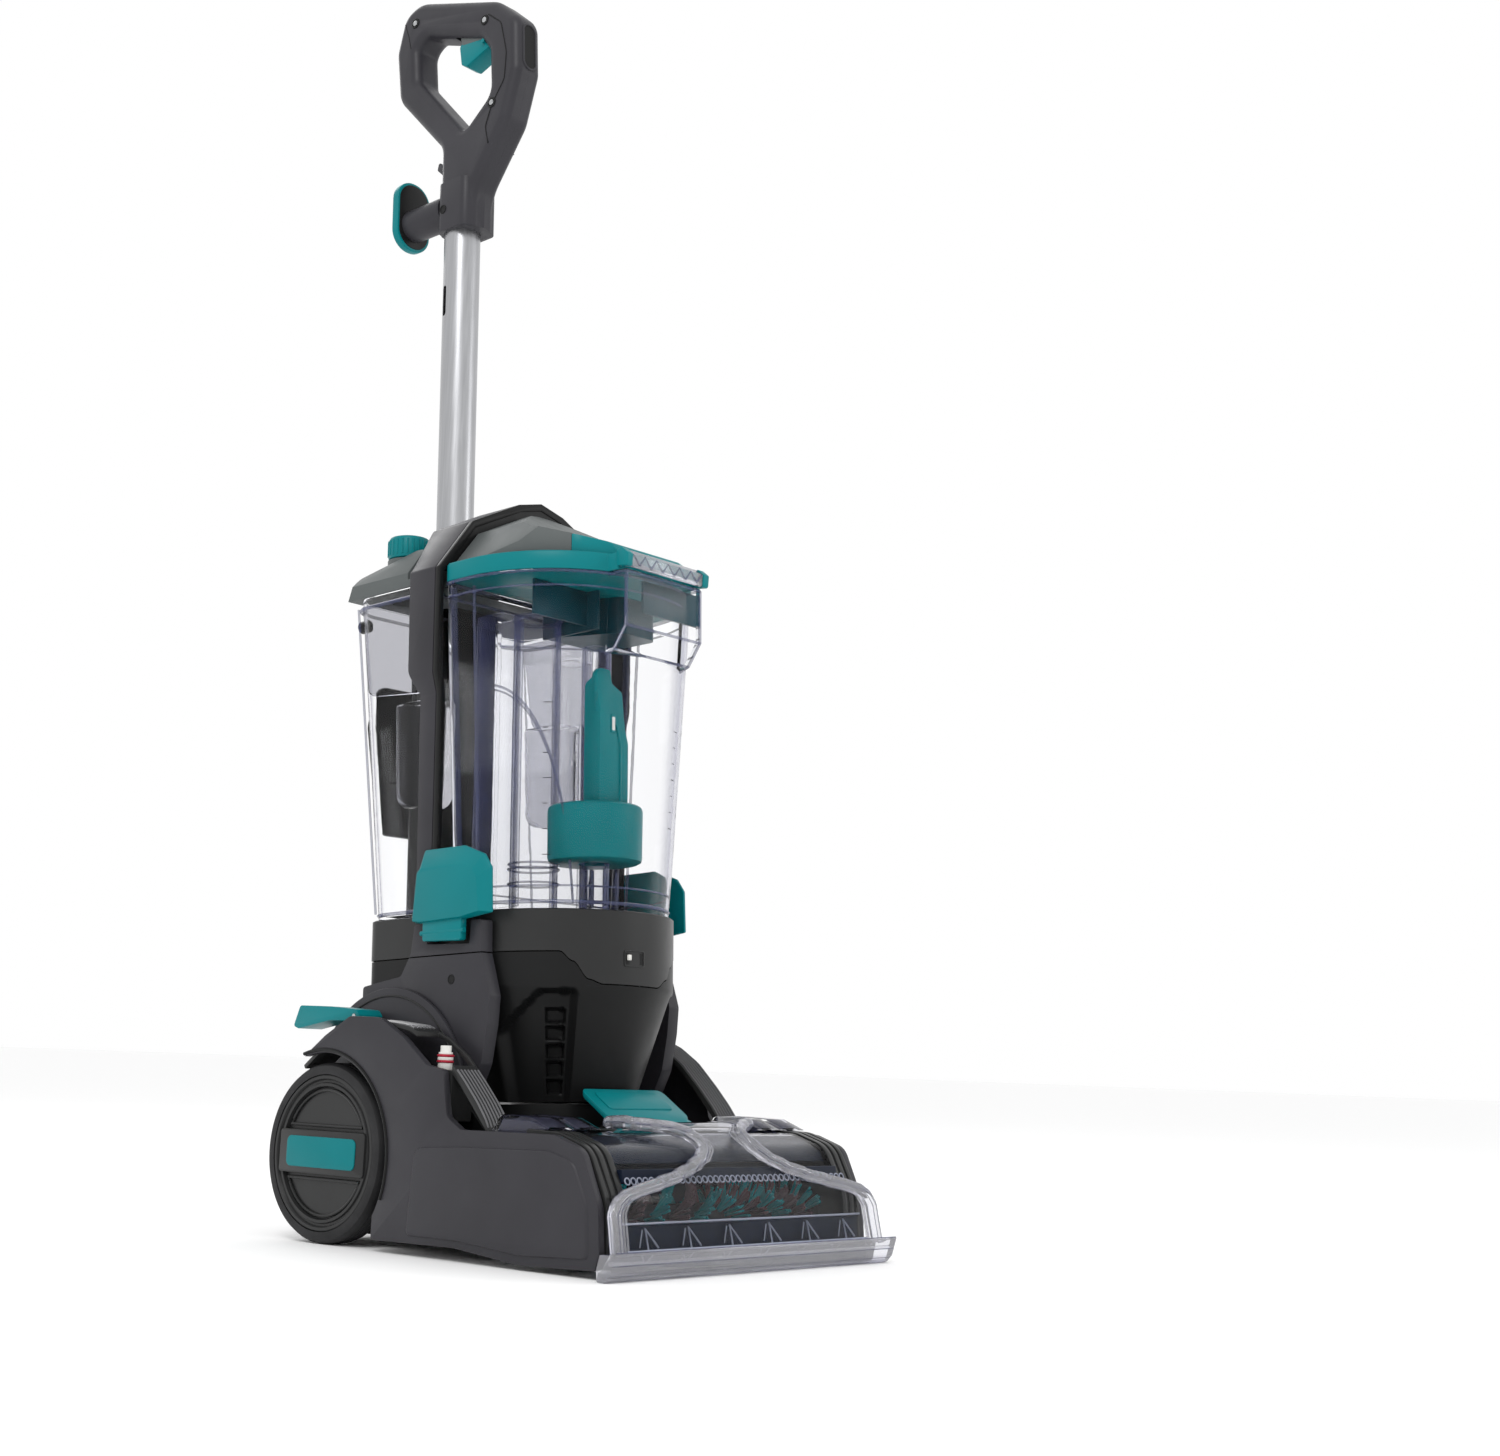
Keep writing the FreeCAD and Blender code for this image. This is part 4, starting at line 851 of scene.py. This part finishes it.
def band():
    """Band between the tanks: charcoal, with a black strip along its front edge."""
    front, strip, gap = 26.2, 5.5, 0.6
    split = front + strip
    rear_part = soften(cut(of_node("centre_frame"), (0, split + gap / 2, 0), (0, -1, 0)), 1.2)
    front_part = soften(cut(of_node("centre_frame"), (0, split - gap / 2, 0), (0, 1, 0)), 0.7)
    piece("centre_frame_moulded", rear_part, "upright", "charcoal_plastic",
          replaces=("centre_frame",))
    piece("centre_frame_edge", front_part, "upright", "black_plastic")
    above = [(-103, 546), (-75, 581.2), (-24, 606.6), (0, 612.5), (24, 606.6), (75, 581.2),
             (103, 546)]
    below = [(101, 539), (74, 572.5), (24, 597.5), (0, 603.7), (-24, 597.5), (-74, 572.5),
             (-101, 539)]
    piece("centre_frame_lining", prism("y", above + below, 27, 50), "upright", "black_plastic")


def rear_tank():
    """Clean-water tank details: rim, smoked upper lining, filter box, faceted top, cap."""
    refine("rear_tank_top", 1.6)
    lining = []
    wall = rounded([(58, 442, 4), (132, 448, 10), (144, 528), (58, 528)], 4)
    case = rounded([(62, 350, 14), (104, 350, 14), (108, 440, 4), (62, 440, 4)], 5)
    for side in BOTH:
        lining += [prism("x", wall, *span(side, 92.5, 95.5)),
                   soften(prism("x", case, *span(side, 60, 86)), 2.0)]
    piece("rear_tank_lining", lining, "upright", "clear_plastic", SMOKED)
    rims = []
    for z, half, back in ((262.5, 92.6, 128), (524, 101.5, 153)):
        outline = rounded([(-half, 53, 5), (half, 53, 5), (half, back, 22), (32, back, 3),
                           (32, 112, 2), (-32, 112, 2), (-32, back, 3), (-half, back, 22)], 5)
        rims.append(level_bead(outline, z, 1.5))
    for side in BOTH:
        rims.append(tube([(side * 92.4, 54, 264), (side * 101, 54, 526)], 1.6))
        rims.append(tube([(side * 89, 122, 264), (side * 96.5, 148, 526)], 1.0))
    # The rims' dark blue colour is a painted edge reflection.
    piece("rear_tank_rims", rims, "upright", "clear_plastic", LINED)
    centre_x, centre_y = -68, 118
    outline = [(569, 0), (569, 15), (570, 17.4), (572, 17.8), (586, 17.8), (588.4, 16.4),
               (589, 14.5), (588, 13.4), (587.8, 0)]
    cap = [turned("z", (centre_x, centre_y, 0), outline)]
    cap += [tube([(p.x, p.y, 572.5), (p.x, p.y, 585.5)], 0.9, 6)
            for p in circle(centre_x, centre_y, 17.6, 24)]
    cap.append(soften(box((centre_x - 12, centre_y - 3.5, 586),
                          (centre_x + 12, centre_y + 3.5, 588.8)), 1.0))
    piece("fill_cap_moulded", cap, "filler", "teal_plastic", replaces=("fill_cap",))


def lower_back():
    """Spine, lower cord hook, a knob, and the pole with its slot turned towards the view."""
    refine("spine", 1.2)
    refine("lower_cord_hook", 1.4)
    pole = of_node("pole")
    axis = Vector((0, 137, 0))
    turn = Matrix.Rotation(radians(33), 4, "Z")
    bmesh.ops.transform(pole, verts=pole.verts,
                        matrix=Matrix.Translation(axis) @ turn @ Matrix.Translation(-axis))
    piece("pole_drawn", pole, "upright", "aluminium_tube", replaces=("pole",), sharp=40)
    outline = [(149, 0), (149, 5.5), (157, 5.5), (158.5, 4), (158.5, 0)]
    piece("rear_knob", turned("y", (-84, 0, 514), outline, 32), "upright", "black_plastic")


def front_tank():
    """Recovery tank details: rim, foot, corner columns, inner ducts and level marks."""
    edges = [level_bead(d_line(half, 24, 4), z, radius)
             for half, z, radius in ((108.0, 525.6, 1.3), (107.2, 514, 0.9), (91.6, 263.5, 1.5),
                                     (92.4, 276, 0.8))]
    for side in BOTH:
        x = side * 44
        edges += [tube([(side * 88, 20, 262), (side * 103, 20, 522)], 3.0, 10),
                  tube([(side * 84, 2, 262), (side * 97, 2, 522)], 1.2),
                  tube([(x, -95, 460), (x, -104, 463), (x, -117, 481), (x, -117, 525)], 1.4)]
    edges.append(tube([(-44, -98, 525), (-44, -117, 525), (44, -117, 525), (44, -98, 525)], 1.2))
    for y, z in ((-117, 481), (-104, 463)):
        edges.append(tube([(-44, y, z), (44, y, z)], 1.2))
    # The edges' and columns' dark blue colour is a painted edge reflection.
    piece("tank_edges", edges, "tank", "clear_plastic", LINED)
    floor, wall = 264, 2.0
    ducts = []
    for low, high, top in (((-82, -16), (-56, 16), 500), ((8, -4), (34, 20), 478),
                           ((40, 0), (62, 20), 430)):
        outside = rectangle(low, high, 4)
        inside = rectangle((low[0] + wall, low[1] + wall), (high[0] - wall, high[1] - wall), 2.5)
        duct = skin([[(*p, z) for p in line] for line, z in ((inside, floor), (outside, floor),
                     (outside, top), (inside, top), (inside, floor))], capped=False)
        bmesh.ops.remove_doubles(duct, verts=duct.verts, dist=1e-4)
        ducts.append(duct)
    piece("tank_ducts", ducts, "tank", "clear_plastic", SHEER)
    ribs = [hoop("z", z, RISER, radius, 0.9, 8, 40)
            for z, radius in ((505, 19.8), (503, 20.2), (300, 20.4), (296, 20.6), (284, 20.4))]
    curve = [Vector(p) for p in ((-84, -10, 440), (-70, -30, 436), (-52, -44, 405),
                                 (-42, -52, 350), (-38, -56, 268))]
    bend = []
    for k in range(33):
        layer = curve
        while len(layer) > 1:
            layer = [a.lerp(b, k / 32) for a, b in zip(layer, layer[1:])]
        bend.append(layer[0])
    ribs.append(tube(bend, 1.0))
    ribs.append(tube([p + Vector((3.5, 3, -3)) for p in bend], 0.8))
    ribs.append(tube([(-88, -20, 470), (-40, -70, 468), (0, -92, 466)], 0.8, 6))
    ribs += [tube([(x, -60, 262), (x, -60, 292)], 1.4) for x in (-20, 8)]
    # The ribs' dark blue colour is a painted edge reflection.
    piece("tank_ribs", ribs, "tank", "clear_plastic", LINED)
    marks, count = [], 7
    for bearing, high, low in ((-52, 420, 300), (24, 410, 330)):
        for k in range(count):
            z = high - (high - low) * k / (count - 1)
            radius = 91.2 + 15.9 * (z - 258) / 269
            a = radians(bearing)
            width = radians(2.2 if k % 3 else 4.0)
            marks.append(tube([(radius * sin(a + d), -radius * cos(a + d), z)
                               for d in (0, width / 2, width)], 0.35, 5))
    piece("level_marks", marks, "tank", "inner_plastic")


def float_unit():
    """Float cup with a rolled rim, and its tall shouldered stem with a slot."""
    x0, y0 = -6, -48
    cup = [(299.5, 13), (299.5, 35), (301, 37.8), (303.5, 38.4), (341, 38.8), (344.5, 38),
           (346, 36), (346, 33), (343.5, 31), (343.5, 13)]
    parts = [turned("z", (x0, y0, 0), cup, 84)]
    clearance = 20.8
    for v in parts[0].verts:
        gap = v.co.xy - Vector(RISER)
        if gap.length < clearance:
            v.co.xy = Vector(RISER) + gap.normalized() * clearance
    stem = rounded([(x0 - 15.5, 340), (x0 + 18, 340), (x0 + 18, 398, 4), (x0 + 14, 410, 4),
                    (x0 + 10, 440, 4), (x0 - 2, 446, 3), (x0 - 4, 456.8, 3), (x0 - 20, 456.8, 6),
                    (x0 - 19, 436, 6), (x0 - 15.5, 420, 5)], 4)
    face = y0 - 20
    parts.append(soften(prism("y", stem, face, face + 6), 1.2))
    flank = rounded([(face, 340), (face + 18, 340), (face + 18, 446, 6), (face, 456, 2)], 4)
    parts.append(soften(prism("x", flank, x0 - 15.6, x0 - 12.4), 1.0))
    parts.append(soften(box((x0 - 3.5, face - 0.9, 405), (x0 + 1.5, face + 1, 420)), 0.4))
    parts.append(tube([(x, face - 0.2, z)
                       for x, z in ((x0 + 8, 346), (x0 + 8, 396), (x0 + 3, 412))], 1.1, 6))
    piece("float_moulded", parts, "float_body", "teal_plastic", replaces=("float",))
    slot = soften(box((x0 - 2.6, face - 1.3, 407), (x0 + 0.6, face + 1, 418)), 0.3)
    piece("float_slot", slot, "float_body", "white_plastic")


def lid():
    """Lid: teal rim with a sloping teal front, two-facet grey roof, ribbed clear latch bar."""
    level = (0, 0, 526.9)
    upper = soften(cut(of_node("tank_lid"), level, (0, 0, -1)), 1.0)
    lower = cut(of_node("tank_lid"), level, (0, 0, 1))
    piece("tank_lid_rim", upper, "lid", "teal_plastic", replaces=("tank_lid",))
    piece("tank_lid_baffle", lower, "lid", "teal_plastic", SEPARATOR_TEAL)
    split = Vector((0, -66, 0))
    lean = Vector((0.16, -1, 0)).normalized()
    rear = soften(cut(of_node("lid_roof"), split, lean), 1.2)
    front = soften(cut(of_node("lid_roof"), split, -lean), 1.2)
    piece("lid_roof_moulded", rear, "lid", "smoke_plastic", replaces=("lid_roof",))
    piece("lid_front_slope", front, "lid", "teal_plastic")
    piece("lid_rim_bead", level_bead(d_line(106.5, 24, 4), 541, 1.6), "lid", "teal_plastic")
    walls = [soften(box(*corners), 0.6) for corners in (((-6, -100, 500), (64, -97, 527)),
                                                        ((-10, -52, 494), (-7, 12, 527)),
                                                        ((-70, -40, 498), (-10, -37, 527)))]
    piece("lid_separator", walls, "lid", "teal_plastic", SEPARATOR_TEAL)
    outline = rounded([(-111, 532, 1), (-111, 541, 2), (-116, 543, 2), (-122, 538, 2),
                       (-121.4, 528.4, 1), (-118, 528, 1), (-117.4, 532, 1)], 3)
    piece("lid_latch_bar", soften(prism("x", outline, -42, 42), 0.4), "lid_bar",
          "clear_plastic", GLOSSY_CLEAR, ("lid_latch",))
    count, half = 12, 41
    places = [(-half + 2 * half * k / count, *((-121.6, 538), (-122.4, 529.5))[k % 2])
              for k in range(count + 1)]
    truss = [tube([first, second], 0.7, 6) for first, second in zip(places, places[1:])]
    # The truss's dark blue colour is a painted edge reflection.
    piece("lid_latch_truss", truss, "lid_bar", "clear_plastic", LINED)
    outline = rounded([(-110.8, 529, 1), (-110.8, 541.6, 2), (-116, 543.8, 2), (-123, 538, 2),
                       (-122, 527.6, 2)], 4)
    ends = [soften(prism("x", outline, *span(side, 42, 49)), 0.7) for side in BOTH]
    piece("lid_latch_ends", ends, "lid_bar", "teal_plastic")


def handle():
    """Loop handle details: seams, screw wells, blank plate in its frame, trigger, hooks."""
    for name in SIDES:
        bm = cut(of_node(f"handle_{name}"), (0, 0, 897), (0, 0, -1))
        piece(f"handle_{name}_moulded", soften(bm, 2.4, 3, 24, clear_of=3), "upright",
              "charcoal_plastic", replaces=(f"handle_{name}",), sharp=40)
    outer_x, wells, screws = 16.1, [], []
    for y, z in ((193, 1124), (96, 1092), (84, 1006)):
        for side in BOTH:
            wells += [hoop("x", side * outer_x, (y, z), 4.2, 0.8, 8, 28),
                      prism("x", circle(y, z, 4.0, 28), *span(side, 15.6, 16.15))]
        screws += [turned("x", (0, y, z), [(-outer_x, 0), (-outer_x, 2.9), (-17.0, 2.6),
                                           (-17.4, 1.6), (-17.5, 0)], 28),
                   box((-17.6, y - 2.2, z - 0.35), (-17.2, y + 2.2, z + 0.35))]
    # Black discs and rings in the screw wells: painted shade inside the recesses.
    piece("handle_screw_wells", wells, "upright", "black_plastic")
    piece("handle_screws_turned", screws, "upright", "steel", replaces=("handle_screws",))
    seam = divided(rounded([(91, 1096), (74, 1082, 8), (66, 1050, 8), (68, 1024, 8),
                            (84, 1004, 8), (92, 985, 8), (88, 968)], 5), 4)
    back = [(208, 1128), (202, 1112), (199, 1100)]
    seams = [tube([(side * x, *p) for p in line], radius, 6)
             for line, x, radius in ((seam, outer_x, 0.55), (back, 15.9, 0.5))
             for side in BOTH]
    piece("handle_seams", seams, "upright", "black_plastic")

    def face(z):
        return 52.2 + (z - 1034) * 0.04

    loop = rectangle((-7.4, 1034), (7.4, 1078), 6.8, 8)
    rim = tube([(p.x, face(p.y) - 0.3, p.y) for p in loop], 1.1, closed=True)
    piece("plate_frame", rim, "upright", "charcoal_plastic")
    plate = rectangle((-6.6, 1034.8), (6.6, 1077.2), 6, 8)
    slab = skin([[(p.x, face(p.y) + shift, p.y) for p in plate] for shift in (-0.5, 1.5)])
    piece("blank_plate", slab, "upright", "black_plastic", replaces=("handle_label",))
    grip = rounded([(93, 1076, 3), (95, 1069, 2), (127, 1059, 2), (134, 1063, 2), (137, 1082, 3),
                    (132, 1086, 2), (104, 1079, 4)], 4)
    base = rounded([(98, 1078, 2), (133, 1082, 2), (136, 1092, 2), (102, 1084, 3)], 4)
    trigger = [soften(prism("x", grip, -9.8, 9.8), 1.2),
               turned("x", (0, 102, 1075), [(-13, 0), (-13, 2), (13, 2), (13, 0)], 24)]
    piece("trigger_moulded", trigger, "trigger_body", "teal_plastic", replaces=("trigger",))
    piece("trigger_base", soften(prism("x", base, -9.9, 9.9), 1.0), "trigger_body",
          "smoke_plastic")
    refine("cord_clip", 0.8)
    z = 926
    arm = [(156, 0), (156, 14.4), (158, 15), (204, 15), (206, 15), (206, 0)]
    disc = rectangle((-20, z - 24), (20, z + 44), 19, 10)
    inset = rectangle((-17.4, z - 21.4), (17.4, z + 41.4), 16.6, 10)
    piece("cord_hook_arm", turned("y", (0, 0, z), arm, 64), "cord_hook", "charcoal_plastic",
          replaces=("upper_cord_hook",))
    piece("cord_hook_rim", soften(prism("y", disc, 206.2, 213.9), 1.3, 3), "cord_hook",
          "teal_plastic")
    piece("cord_hook_face", soften(prism("y", inset, 205.4, 206.6), 0.4), "cord_hook",
          "black_plastic")
    hole = [hoop("x", -20.2, (142, 918), 3.6, 0.7, 6, 24),
            prism("x", circle(142, 918, 3.4, 24), -20.25, -19)]
    # Black disc for the pin hole: painted shade inside the hole.
    piece("handle_pin_hole", hole, "upright", "black_plastic")


def upright():
    housing()
    hips()
    for name, side in SIDES.items():
        latch(name, side)
    band()
    rear_tank()
    lower_back()
    front_tank()
    float_unit()
    lid()
    handle()


# -------- stage

def studio():
    """Pale floor, soft white surroundings, large soft lights."""
    world = bpy.data.worlds.new("studio")
    world.use_nodes = True
    background = world.node_tree.nodes["Background"]
    background.inputs["Color"].default_value = (1, 1, 1, 1)
    background.inputs["Strength"].default_value = 1.0
    bpy.context.scene.world = world
    bpy.context.scene.view_settings.view_transform = "Standard"
    floor = bpy.data.objects.new("studio_floor", bpy.data.meshes.new("studio_floor"))
    half = 60
    floor.data.from_pydata([(-half, -half, 0), (half, -half, 0), (half, half, 0),
                            (-half, half, 0)], [], [(0, 1, 2, 3)])
    floor.data.materials.append(moulded("floor_paint", (0.96, 0.96, 0.96), 0.8, 0.1, 0.02, 1.01))
    bpy.context.collection.objects.link(floor)
    for name, place, size, power in (("key", (-2.0, -1.2, 2.6), 1.0, 30),
                                     ("fill", (1.8, -2.2, 1.4), 0.8, 8),
                                     ("back", (0.6, 2.2, 2.4), 1.2, 12)):
        light = bpy.data.lights.new(name, "AREA")
        light.energy = power
        light.size = size
        item = bpy.data.objects.new(name, light)
        item.location = place
        aim = Vector((0, 0, 0.5)) - Vector(place)
        item.rotation_euler = aim.to_track_quat("-Z", "Y").to_euler()
        bpy.context.collection.objects.link(item)


def camera():
    """A low camera in front of the machine's left side, tilted up a little and rolled."""
    right = Vector((0.6453, -0.7631, 0.0357))
    up = Vector((-0.1450, -0.0765, 0.9865))
    ahead = Vector((0.75004, 0.64173, 0.16005))
    place = Vector((-1.21514, -1.23352 + DATUM_Y / 1000, 0.14652))
    lens = bpy.data.cameras.new("view")
    lens.lens = 50.48
    lens.sensor_width = 36
    item = bpy.data.objects.new("view", lens)
    turn = Matrix((right, up, -ahead)).transposed().to_4x4()
    item.matrix_world = Matrix.Translation(place) @ turn
    bpy.context.collection.objects.link(item)
    bpy.context.scene.camera = item


dress_nodes()
nozzle()
floor_base()
upright()
studio()
camera()
